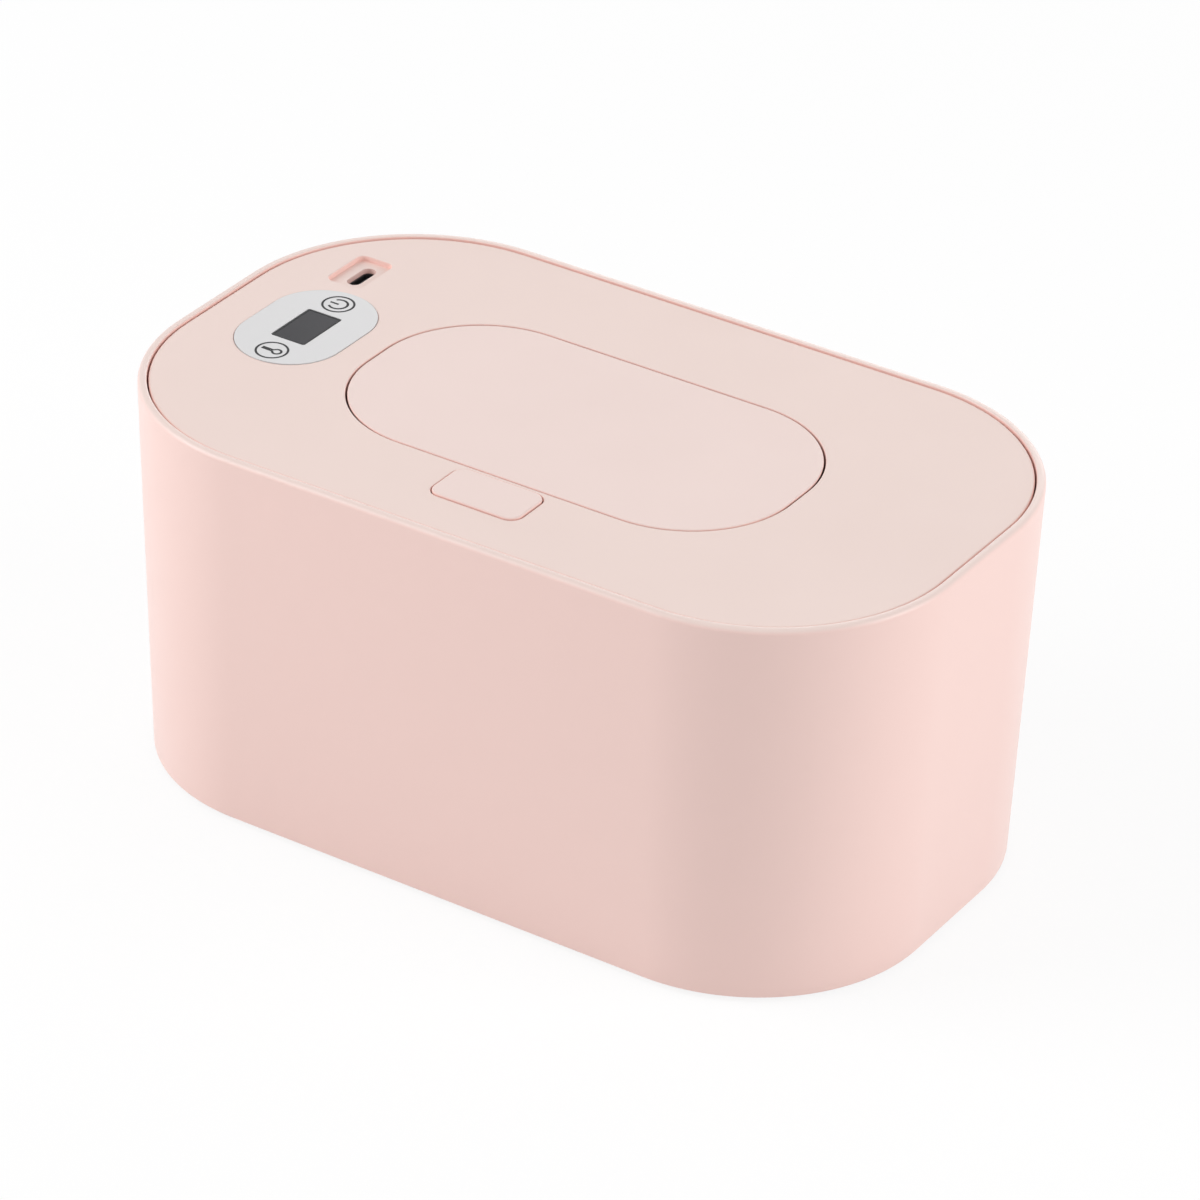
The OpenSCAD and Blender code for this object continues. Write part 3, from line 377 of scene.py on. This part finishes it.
coverColour = (0.760, 0.617, 0.572)
paintedSideAndGapLight = {  # painted light: a deeper pink painted on the sides as side shade, and a warm pink painted down in the gaps as a glow of bounced light
    "side": (0.832, 0.607, 0.560), "sideSpan": (0.98, 0.30),  # upward share of the normal
    "paintedGapGlow": (0.86, 0.54, 0.475), "paintedGapGlowShare": 0.85, "paintedGapGlowReach": 0.0022, "paintedGapGlowSpan": (0.9, 0.35),
}
satin = {"grainDepth": 6e-6, "grainScale": 2200, "ior": 1.46}
plastics = {
    "shellPink": plasticSettings(coverColour, 0.34, waveDepth=3e-6, **paintedSideAndGapLight),
    "coverPink": plasticSettings(coverColour, 0.55, **satin, **paintedSideAndGapLight),
    "lidPink": plasticSettings((0.769, 0.623, 0.585), 0.55, **satin, **paintedSideAndGapLight),
    "whitePlastic": plasticSettings((0.82, 0.82, 0.80), 0.45),
    "darkRubber": plasticSettings((0.085, 0.083, 0.083), 0.78, grainDepth=1.4e-5, grainScale=1800),
    "softSilicone": plasticSettings(
        (0.74, 0.74, 0.72), 0.52, softLight=0.15, softRadius=(1.0, 0.45, 0.35), softDepth=0.0015),
    "blackPlastic": plasticSettings((0.018, 0.018, 0.020), 0.48),
    "smokedWindow": plasticSettings(
        (0.009, 0.008, 0.012), 0.22, ior=1.36, grainDepth=4e-7, waveDepth=4e-7, roughSpread=0.02),
    "silverSheet": plasticSettings((0.634, 0.629, 0.634), 0.36, grainScale=3200, grainDepth=1.5e-6),
    "redSleeve": plasticSettings((0.42, 0.020, 0.018), 0.5),
    "symbolInk": plasticSettings((0.030, 0.030, 0.032), 0.6, ior=1.3),
}
metals = {
    "steel": metalSettings((0.60, 0.60, 0.62), 0.28, (1, 1, 0.12), lineDepth=1.5e-6),
    "darkMetal": metalSettings((0.09, 0.09, 0.095), 0.5, (1, 1, 0.2)),
    "aluminium": metalSettings(
        (0.74, 0.745, 0.75), 0.38, (0.05, 1, 1), lineScale=700, lineDepth=2.5e-6),
    "brass": metalSettings((0.78, 0.58, 0.27), 0.26, (1, 1, 0.2)),
}
foamSettings = {
    "colour": (0.66, 0.67, 0.68), "darkCell": 0.86, "paleCell": 1.05, "cellScale": 1100,
    "cellDepth": 1.2e-4, "patchScale": 90, "roughness": (0.75, 0.95),
}
filmSettings = {
    "film": (0.50, 0.20, 0.035), "track": (0.33, 0.115, 0.02), "trackScale": 70,
    "trackEdge": (0.45, 0.55), "trackDepth": 2e-5, "hazeScale": 240, "roughness": (0.18, 0.32),
}
boardSettings = {
    "colour": (0.016, 0.095, 0.040), "paleField": 1.25, "paleTrack": 2.1, "trackScale": 160,
    "trackWidth": 0.06, "trackDepth": 1.5e-5, "hazeScale": 300, "roughness": (0.25, 0.40),
}
finishes = {name: mouldedPlastic(name, s) for name, s in plastics.items()}
finishes |= {name: rolledMetal(name, s) for name, s in metals.items()}
finishes["foam"] = foamSheet("foam", foamSettings)
finishes["film"] = etchedFilm("heaterFilm", filmSettings)
finishes["board"] = maskedBoard("controlBoard", boardSettings)
print("stage: finishes,", len(finishes))

nodeFinish = {  # what each CAD node is finished in
    "outer_shell": "shellPink", "base_plate": "shellPink", "rubber_feet": "darkRubber",
    "base_screws": "steel", "inner_tub": "whitePlastic", "tub_foam": "foam",
    "top_cover": "coverPink", "cover_liner": "whitePlastic", "cover_seal": "softSilicone",
    "liner_screws": "steel", "heater_plate": "aluminium", "heater_film": "film",
    "heater_pad": "foam", "thermistor": "blackPlastic", "thermal_fuse": "whitePlastic",
    "heater_leads": "redSleeve", "sensor_leads": "blackPlastic", "control_board": "board",
    "board_parts": "blackPlastic", "board_screws": "steel", "touch_springs": "brass",
    "display_module": "blackPlastic", "display_window": "smokedWindow",
    "control_panel": "silverSheet", "power_inlet": "darkMetal", "flip_lid": "lidPink",
    "lid_lining": "whitePlastic", "lid_gasket": "softSilicone", "hinge_pins": "steel",
    "hinge_springs": "steel", "latch_button": "lidPink", "latch_slider": "whitePlastic",
    "latch_spring": "steel",
}
for nodeName, finishName in nodeFinish.items():
    for materialSlot in cadNodes[nodeName].material_slots:
        materialSlot.material = finishes[finishName]
print("stage: CAD nodes finished")


# Geometry Nodes trees: each makes one kind of repeated or swept piece
def newTree(name, **inputs):  # a value here says its input's kind, and bakeTree sets the real one
    kinds = {int: "NodeSocketInt", float: "NodeSocketFloat", tuple: "NodeSocketVector"}
    tree = bpy.data.node_groups.new(name, "GeometryNodeTree")
    add = tree.interface.new_socket
    add("Start", in_out="INPUT", socket_type="NodeSocketGeometry")
    for label, value in inputs.items():
        add(label, in_out="INPUT", socket_type=kinds[type(value)]).default_value = value
    add("finish", in_out="INPUT", socket_type="NodeSocketMaterial")
    add("Made", in_out="OUTPUT", socket_type="NodeSocketGeometry")
    return tree, tree.nodes.new("NodeGroupInput").outputs


def put(tree, kind, wires, mode=None, operation=None):  # a node, its inputs wired or set by name
    node = tree.nodes.new(kind)
    if mode:
        node.mode = mode
    if operation:
        node.operation = operation
    for key, value in wires.items():
        for each in value if isinstance(value, list) else [value]:
            if isinstance(each, bpy.types.NodeSocket):
                tree.links.new(each, node.inputs[key])
            else:
                node.inputs[key].default_value = each
    return node.outputs[0]


def endTree(tree, made, finish):
    real = put(tree, "GeometryNodeRealizeInstances", {0: made})
    finished = put(tree, "GeometryNodeSetMaterial", {"Geometry": real, "Material": finish})
    tree.links.new(finished, tree.nodes.new("NodeGroupOutput").inputs[0])
    return tree


def setOut(tree, points, piece, finish):  # one copy of the piece on each point
    copies = put(tree, "GeometryNodeInstanceOnPoints", {"Points": points, "Instance": piece})
    return endTree(tree, copies, finish)


def lineMesh(name, paths):  # each path is (points, closed), in mm
    mesh = bpy.data.meshes.new(name)
    points, edges = [], []
    for path, closed in paths:
        first = len(points)
        points += [(x * mm, y * mm, 0) for x, y in path]
        edges += [(first + i, first + i + 1) for i in range(len(path) - 1)]
        if closed:
            edges.append((first + len(path) - 1, first))
    mesh.from_pydata(points, edges, [])
    return mesh


bakeSettings = {"weld": 1e-6, "sharpAngle": 32, "springSharpAngle": 60}  # metres, degrees


def bakeTree(tree, name, start, sizes, finishName, sharpAngle=bakeSettings["sharpAngle"]):
    piece = bpy.data.objects.new(name, start)
    bpy.context.scene.collection.objects.link(piece)
    modifier = piece.modifiers.new("shape", "NODES")
    modifier.node_group = tree
    for socket in tree.interface.items_tree:
        if socket.in_out == "INPUT" and socket.name in sizes:
            modifier[socket.identifier] = sizes[socket.name]
        elif socket.name == "finish":
            modifier[socket.identifier] = finishes[finishName]
    evaluated = piece.evaluated_get(bpy.context.evaluated_depsgraph_get())
    mesh = bpy.data.meshes.new_from_object(evaluated)
    piece.modifiers.remove(modifier)
    piece.data = mesh
    work = bmesh.new()
    work.from_mesh(mesh)
    bmesh.ops.remove_doubles(work, verts=work.verts, dist=bakeSettings["weld"])
    bmesh.ops.recalc_face_normals(work, faces=work.faces)
    work.to_mesh(mesh)
    work.free()
    mesh.shade_smooth()
    mesh.set_sharp_from_angle(angle=math.radians(sharpAngle))
    return piece


def fit(piece, body, slotName, *nodes):  # on its body, in place of the CAD nodes
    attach(piece, body)
    if nodes:
        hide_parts(*nodes)


def filleted(corners, steps):  # a section's (x, z, radius) corners, each rounded by an arc
    points = []
    for i, (x, z, radius) in enumerate(corners):
        here = Vector((x, z))
        before = (Vector(corners[i - 1][:2]) - here).normalized()
        after = (Vector(corners[(i + 1) % len(corners)][:2]) - here).normalized()
        half = before.angle(after) / 2
        centre = here + (before + after).normalized() * radius / math.sin(half)
        first = here + before * radius / math.tan(half) - centre
        last = here + after * radius / math.tan(half) - centre
        start = math.atan2(first.y, first.x)
        turn = (math.atan2(last.y, last.x) - start + math.pi) % (2 * math.pi) - math.pi
        angles = [start + turn * k / steps for k in range(steps + 1)]
        points += [centre + radius * Vector((math.cos(a), math.sin(a))) for a in angles]
    return points


def sweepTree():  # a closed section carried round a rounded rectangle
    tree, given = newTree("roundTheCase", Length=0.2, Width=0.1, Corner=0.04, Steps=32)
    path = put(tree, "GeometryNodeCurvePrimitiveQuadrilateral", {
        "Width": given["Length"], "Height": given["Width"]})
    path = put(tree, "GeometryNodeFilletCurve", {
        "Curve": path, "Radius": given["Corner"], "Count": given["Steps"], "Limit Radius": True,
    }, mode="POLY")
    path = put(tree, "GeometryNodeSetCurveNormal", {"Curve": path}, mode="Z_UP")
    section = put(tree, "GeometryNodeMeshToCurve", {"Mesh": given["Start"]})
    wall = put(tree, "GeometryNodeCurveToMesh", {"Curve": path, "Profile Curve": section})
    return endTree(tree, wall, given["finish"])


caseSettings = {  # the case wall's section, in mm
    "length": 205, "width": 122.8, "corner": 46.9, "cornerSteps": 40,
    "bottom": 1.2, "rim": 96.7, "wall": 2.1, "lean": 2.8 / 95.5,
    "rimRound": 1.2, "innerRound": 0.4, "footRound": 0.5, "innerEdge": 0.3, "roundSteps": 6,
    "ledgeTop": 74.9, "ledgeStraight": 1.6, "ledgeWidth": 3.0, "lipBottom": 3.6, "lipWidth": 1.8,
}


def caseSection(s):
    def outer(z):
        return -s["lean"] * (s["rim"] - z)

    def inner(z):
        return outer(z) - s["wall"]

    ledge = inner(s["ledgeTop"]) - s["ledgeWidth"]
    under = s["ledgeTop"] - s["ledgeStraight"]
    lip, lipTop = s["lipBottom"], s["lipBottom"] + s["ledgeStraight"]
    edge = s["innerEdge"]
    return filleted([
        (outer(s["bottom"]), s["bottom"], s["footRound"]),
        (outer(s["rim"]), s["rim"], s["rimRound"]),
        (inner(s["rim"]), s["rim"], s["innerRound"]),
        (inner(s["ledgeTop"]), s["ledgeTop"], edge),
        (ledge, s["ledgeTop"], edge),
        (ledge, under, edge),
        (inner(under - s["ledgeWidth"]), under - s["ledgeWidth"], edge * 2),
        (inner(lipTop), lipTop, edge),
        (inner(lip) - s["lipWidth"], lipTop - s["lipWidth"] / 2, edge),
        (inner(lip) - s["lipWidth"], lip, edge / 2),
        (inner(lip), lip, edge / 2),
        (inner(s["bottom"]), s["bottom"], edge),
    ], s["roundSteps"])


def makeCase(s):
    sizes = {"Length": s["length"] * mm, "Width": s["width"] * mm, "Corner": s["corner"] * mm}
    sizes["Steps"] = s["cornerSteps"]
    section = [(x, -z) for x, z in caseSection(s)]  # a section's y runs down
    start = lineMesh("caseSection", [(section, True)])
    wall = bakeTree(sweepTree(), "caseWall", start, sizes, "shellPink")
    fit(wall, "case", "shell_pink", "outer_shell")


makeCase(caseSettings)
print("stage: case wall")


gridSettings = {"merge": 1e-5, "thin": 1e-6, "seam": 2e-6}  # metres


def latheTree():  # a half section turned about the upright axis, cut by a cross and set out
    tree, given = newTree(
        "turnedAndSetOut", Core=0.001, Sides=48,
        SlotLength=0.0, SlotWidth=0.0, SlotDepth=0.0, HeadZ=0.0,
        PitchX=0.0, PitchY=0.0, EndPitch=0.0, Middle=(0.0, 0.0, 0.0))
    circle = put(tree, "GeometryNodeCurvePrimitiveCircle", {
        "Resolution": given["Sides"], "Radius": given["Core"]}, mode="RADIUS")
    circle = put(tree, "GeometryNodeSetCurveNormal", {"Curve": circle}, mode="Z_UP")
    half = put(tree, "GeometryNodeMeshToCurve", {"Mesh": given["Start"]})
    turned = put(tree, "GeometryNodeCurveToMesh", {"Curve": circle, "Profile Curve": half})
    turned = put(tree, "GeometryNodeMergeByDistance", {
        "Geometry": turned, "Distance": gridSettings["seam"]})
    depth = put(tree, "ShaderNodeMath", {  # half of a bar stands out of the head
        0: given["SlotDepth"], 1: 2.0}, operation="MULTIPLY")
    head = put(tree, "ShaderNodeCombineXYZ", {"Z": given["HeadZ"]})
    bars = []
    for a, b in (("SlotLength", "SlotWidth"), ("SlotWidth", "SlotLength")):
        size = put(tree, "ShaderNodeCombineXYZ", {"X": given[a], "Y": given[b], "Z": depth})
        bar = put(tree, "GeometryNodeMeshCube", {"Size": size})
        bars.append(put(tree, "GeometryNodeTransform", {"Geometry": bar, "Translation": head}))
    cut = put(tree, "GeometryNodeMeshBoolean", {
        "Mesh 1": turned, "Mesh 2": bars}, operation="DIFFERENCE")
    cut.node.solver = "EXACT"
    corners = {"Vertices X": 2, "Vertices Y": 2}
    four = put(tree, "GeometryNodeMeshGrid", {
        "Size X": given["PitchX"], "Size Y": given["PitchY"], **corners})
    two = put(tree, "GeometryNodeMeshGrid", {  # so thin that its corners merge to two
        "Size X": given["EndPitch"], "Size Y": gridSettings["thin"], **corners})
    hasEnds = put(tree, "ShaderNodeMath", {
        0: given["EndPitch"], 1: gridSettings["thin"]}, operation="GREATER_THAN")
    none = put(tree, "ShaderNodeMath", {0: 1.0, 1: hasEnds}, operation="SUBTRACT")
    two = put(tree, "GeometryNodeMergeByDistance", {
        "Geometry": two, "Distance": gridSettings["merge"]})
    two = put(tree, "GeometryNodeDeleteGeometry", {"Geometry": two, "Selection": none})
    spots = put(tree, "GeometryNodeJoinGeometry", {"Geometry": [four, two]})
    spots = put(tree, "GeometryNodeTransform", {"Geometry": spots, "Translation": given["Middle"]})
    return setOut(tree, spots, cut, given["finish"])


turnedPieces = latheTree()
coreRadius = 1.0  # of the circle that a half section is carried round, mm


def makeTurned(name, half, s, finishName, slotName):
    lengths = {
        "Core": coreRadius, "SlotLength": s.get("slotLength", 0),
        "SlotWidth": s.get("slotWidth", 0), "SlotDepth": s.get("slotDepth", 0),
        "HeadZ": s.get("headZ", 0), "PitchX": s["pitchX"], "PitchY": s["pitchY"],
        "EndPitch": s.get("endPitch", 0),
    }
    sizes = {label: value * mm for label, value in lengths.items()}
    sizes |= {"Sides": s["sides"], "Middle": tuple(v * mm for v in s["middle"])}
    profile = lineMesh(name, [([(x - coreRadius, -z) for x, z in half], False)])
    fit(bakeTree(turnedPieces, name, profile, sizes, finishName), s["body"], slotName, s["node"])


footSettings = {  # a foot's sole has two grooves; sizes in mm
    "radius": 8, "height": 2.2, "round": 0.6, "roundSteps": 6, "topEdge": 0.1,
    "grooves": (3.2, 5.6), "grooveWidth": 0.9, "grooveDepth": 0.35, "grooveFloor": 0.6,
    "pitchX": 124, "pitchY": 60, "middle": (0, 0, 0), "sides": 64,
    "body": "case", "node": "rubber_feet",
}


def footHalf(s):
    points = [(0, 0)]
    w, d = s["grooveWidth"] / 2, s["grooveDepth"]
    floor = w * s["grooveFloor"]
    for r in s["grooves"]:
        points += [(r - w, 0), (r - floor, d), (r + floor, d), (r + w, 0)]
    side, top, edge, soft = s["radius"], s["height"], s["topEdge"], s["round"]
    for k in range(s["roundSteps"] + 1):
        a = math.radians(90 * k / s["roundSteps"])
        points.append((side - soft * (1 - math.sin(a)), soft * (1 - math.cos(a))))
    return points + [(side, top - edge), (side - edge, top), (0, top)]


makeTurned("rubberFeet", footHalf(footSettings), footSettings, "darkRubber", "dark_rubber")

screwShape = {  # pan heads, down, with a cross recess, and tapping threads; sizes in mm
    "flatShare": 0.62, "domeSteps": 5, "edgeShare": 0.25, "neckShare": 0.8, "rootShare": 0.74,
    "threadPitch": 0.7, "threadedShare": 0.86, "threadPlaces": (0.25, 0.6, 0.95),
    "slotLengthShare": 1.15, "slotWidth": 0.55, "slotDepthShare": 0.5, "sides": 28,
}
screwSettings = {
    "baseScrews": {
        "radius": 1.4, "head": 2.8, "headHeight": 1.2, "length": 5.8,
        "pitchX": 86, "pitchY": 84, "middle": (0, 0, 2.6), "body": "case", "node": "base_screws",
    },
    "linerScrews": {
        "radius": 1.1, "head": 2.0, "headHeight": 1.3, "length": 8.0,
        "pitchX": 119.6, "pitchY": 91.04, "endPitch": 187.45, "middle": (0, 0, 79.7),
        "body": "cover", "node": "liner_screws",
    },
    "boardScrews": {
        "radius": 1.1, "head": 2.0, "headHeight": 1.2, "length": 5.6,
        "pitchX": 23, "pitchY": 58, "middle": (-75.5, 5.0, 86.7),
        "body": "cover", "node": "board_screws",
    },
}


def screwHalf(s):
    r, head, h, length = s["radius"], s["head"], s["headHeight"], s["length"]
    flat, edge, root = s["flatShare"], s["edgeShare"], r * s["rootShare"]
    points = [(0, -h), (head * flat, -h)]
    for k in range(1, s["domeSteps"] + 1):
        a = math.radians(90 * k / s["domeSteps"])
        out, up = flat + (1 - flat) * math.sin(a), edge + (1 - edge) * math.cos(a)
        points.append((head * out, -h * up))
    points += [(head, 0), (r * s["neckShare"], 0)]
    turns = int(length / s["threadPitch"])
    pitch = length * s["threadedShare"] / turns
    start, crest, end = s["threadPlaces"]
    for k in range(turns):
        points += [(root, pitch * (k + start)), (r, pitch * (k + crest)), (root, pitch * (k + end))]
    return points + [(0, length)]


for name, own in screwSettings.items():
    screw = screwShape | own
    screw["headZ"] = -screw["headHeight"]
    screw["slotLength"] = screw["head"] * screw["slotLengthShare"]
    screw["slotDepth"] = screw["headHeight"] * screw["slotDepthShare"]
    makeTurned(name, screwHalf(screw), screw, "steel", "steel")
print("stage: feet and screws")


coilShape = {"turnSteps": 32, "wireSides": 10}


def springTree():  # round wire in a coil whose end turns may lie closed, set out along a line
    tree, given = newTree(
        "coiledWire", CoilRadius=0.001, Wire=0.0005, Turns=5.0, Closed=0.0, Length=0.005,
        Count=2, First=(0.0, 0.0, 0.0), Step=(0.0, 0.0, 0.0), Turn=(0.0, 0.0, 0.0))
    along = put(tree, "GeometryNodeSplineParameter", {})  # 0 at the coil's foot, 1 at its top

    def calc(operation, a, b):
        return put(tree, "ShaderNodeMath", {0: a, 1: b}, operation=operation)

    def climb(start, end, height):  # the rise over one stretch of the wire
        return put(tree, "ShaderNodeMapRange", {
            "Value": along, "From Min": start, "From Max": end, "To Min": 0.0, "To Max": height})

    coil = put(tree, "GeometryNodeCurveSpiral", {
        "Resolution": coilShape["turnSteps"], "Rotations": given["Turns"], "Height": 0.0,
        "Start Radius": given["CoilRadius"], "End Radius": given["CoilRadius"]})
    share = calc("DIVIDE", given["Closed"], given["Turns"])
    far = calc("SUBTRACT", 1.0, share)
    wireRadius = calc("DIVIDE", given["Wire"], 2.0)
    closedRise = calc("MULTIPLY", given["Closed"], given["Wire"])
    openRise = calc("SUBTRACT", given["Length"], given["Wire"])
    openRise = calc("SUBTRACT", openRise, calc("MULTIPLY", closedRise, 2.0))
    height = calc("ADD", climb(0.0, share, closedRise), climb(share, far, openRise))
    height = calc("ADD", height, calc("ADD", climb(far, 1.0, closedRise), wireRadius))
    lift = put(tree, "ShaderNodeCombineXYZ", {"Z": height})
    coil = put(tree, "GeometryNodeSetPosition", {"Geometry": coil, "Offset": lift})
    wire = put(tree, "GeometryNodeCurvePrimitiveCircle", {
        "Resolution": coilShape["wireSides"], "Radius": wireRadius}, mode="RADIUS")
    spring = put(tree, "GeometryNodeCurveToMesh", {
        "Curve": coil, "Profile Curve": wire, "Fill Caps": True})
    spring = put(tree, "GeometryNodeTransform", {"Geometry": spring, "Rotation": given["Turn"]})
    spots = put(tree, "GeometryNodeMeshLine", {
        "Count": given["Count"], "Start Location": given["First"], "Offset": given["Step"],
    }, mode="OFFSET")
    return setOut(tree, spots, spring, given["finish"])


springSettings = {  # sizes in mm, turns in degrees
    "hingeSprings": {
        "node": "hinge_springs", "finish": "steel",
        "CoilRadius": 1.2, "Wire": 0.5, "Turns": 5.0, "Closed": 0.0, "Length": 3.72,
        "Count": 2, "First": (-26.12, 34.45, 92.1), "Step": (48.52, 0, 0), "Turn": (0, 90, 0),
    },
    "latchSpring": {
        "node": "latch_spring", "finish": "steel",
        "CoilRadius": 1.9, "Wire": 0.5, "Turns": 5.5, "Closed": 1.0, "Length": 4.75,
        "Count": 1, "First": (0, -46.07, 87.0), "Step": (0, 0, 0), "Turn": (90, 0, 0),
        "travel": 1.5,  # how far the slider draws back
    },
    "touchSprings": {
        "node": "touch_springs", "finish": "brass",
        "CoilRadius": 2.4, "Wire": 0.5, "Turns": 5.5, "Closed": 1.0, "Length": 5.95,
        "Count": 2, "First": (-76.6, -13.7, 88.32), "Step": (0, 26.8, 0), "Turn": (0, 0, 0),
    },
}


def makeSpring(tree, name, s):
    sizes = {label: s[label] * mm for label in ("CoilRadius", "Wire", "Length")}
    sizes |= {label: s[label] for label in ("Turns", "Closed", "Count")}
    sizes |= {label: tuple(v * mm for v in s[label]) for label in ("First", "Step")}
    sizes["Turn"] = tuple(math.radians(v) for v in s["Turn"])
    start = bpy.data.meshes.new(name)
    spring = bakeTree(tree, name, start, sizes, s["finish"], bakeSettings["springSharpAngle"])
    fit(spring, "cover", s["finish"], s["node"])
    if "travel" in s:  # it gets a mesh of its own
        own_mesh(spring)


coiledWire = springTree()
for name, settings in springSettings.items():
    makeSpring(coiledWire, name, settings)
print("stage: springs")


def strokeTree():  # flat printed strokes along paths
    tree, given = newTree("printedStrokes", Breadth=0.0004, Thickness=0.00003, Height=0.0)
    path = put(tree, "GeometryNodeMeshToCurve", {"Mesh": given["Start"]})
    path = put(tree, "GeometryNodeSetCurveNormal", {"Curve": path}, mode="Z_UP")
    pen = put(tree, "GeometryNodeCurvePrimitiveQuadrilateral", {
        "Width": given["Breadth"], "Height": given["Thickness"]})
    ink = put(tree, "GeometryNodeCurveToMesh", {
        "Curve": path, "Profile Curve": pen, "Fill Caps": True})
    lift = put(tree, "ShaderNodeCombineXYZ", {"Z": given["Height"]})
    ink = put(tree, "GeometryNodeTransform", {"Geometry": ink, "Translation": lift})
    return endTree(tree, ink, given["finish"])


def arcPath(x, y, radius, start, end, steps):
    angles = [math.radians(start + (end - start) * k / steps) for k in range(steps + 1)]
    return [(x + radius * math.cos(a), y + radius * math.sin(a)) for a in angles]


symbolSettings = {  # mm and degrees; marks are drawn from their key's centre
    "power": {
        "key": (-76.9, 12.9), "arc": (0, 2.2, 135, 36),  # centre's x, radius, half angle, steps
        "lines": [[(0.1, 0), (-2.2, 0)]],
    },
    "heat": {
        "key": (-76.4, -14.0), "arc": (1.35, 1.05, 125, 24),
        "lines": [
            [(-2.7, 0.3), (0.2, 0.3), (0.75, 0.85)],
            [(-2.7, -0.25), (0.2, -0.3), (0.75, -0.85)],
        ],
    },
    "ring": 3.7, "ringSteps": 48, "ringLine": 0.52, "line": 0.55, "height": 96.466,
    "thickness": 0.03,
    "window": (-76.5, -0.3, 9.1, 15.0),  # middle, breadth and length
    "borderLine": 0.45, "borderHeight": 96.417, "borderRound": 0.3, "borderSteps": 4,
}


def keyMark(s):
    x, y = s["key"]
    dx, radius, half, steps = s["arc"]
    paths = [(arcPath(x + dx, y, radius, -half, half, steps), False)]
    return paths + [([(x + px, y + py) for px, py in line], False) for line in s["lines"]]


def keyRing(s, key):
    steps = s["ringSteps"]
    return arcPath(*key, s["ring"], 0, 360 * (steps - 1) / steps, steps - 1), True


def windowBorder(s):
    wx, wy, across, along = s["window"]
    r = s["borderRound"]
    x, y = (across - s["borderLine"]) / 2 - r, (along - s["borderLine"]) / 2 - r
    border = []
    for cx, cy, start in ((x, y, 0), (-x, y, 90), (-x, -y, 180), (x, -y, 270)):
        border += arcPath(wx + cx, wy + cy, r, start, start + 90, s["borderSteps"])
    return border, True


def makeSymbols(s):
    keys = (s["power"], s["heat"])
    rings = [keyRing(s, key["key"]) for key in keys]
    marks = keyMark(keys[0]) + keyMark(keys[1])
    tree = strokeTree()
    for name, paths, line, height in (
        ("keyRings", rings, s["ringLine"], s["height"]),
        ("keyMarks", marks, s["line"], s["height"]),
        ("windowBorder", [windowBorder(s)], s["borderLine"], s["borderHeight"]),
    ):
        sizes = {"Breadth": line * mm, "Thickness": s["thickness"] * mm, "Height": height * mm}
        ink = bakeTree(tree, name, lineMesh(name, paths), sizes, "symbolInk")
        fit(ink, "cover", "black_plastic")


makeSymbols(symbolSettings)
print("stage: key symbols")
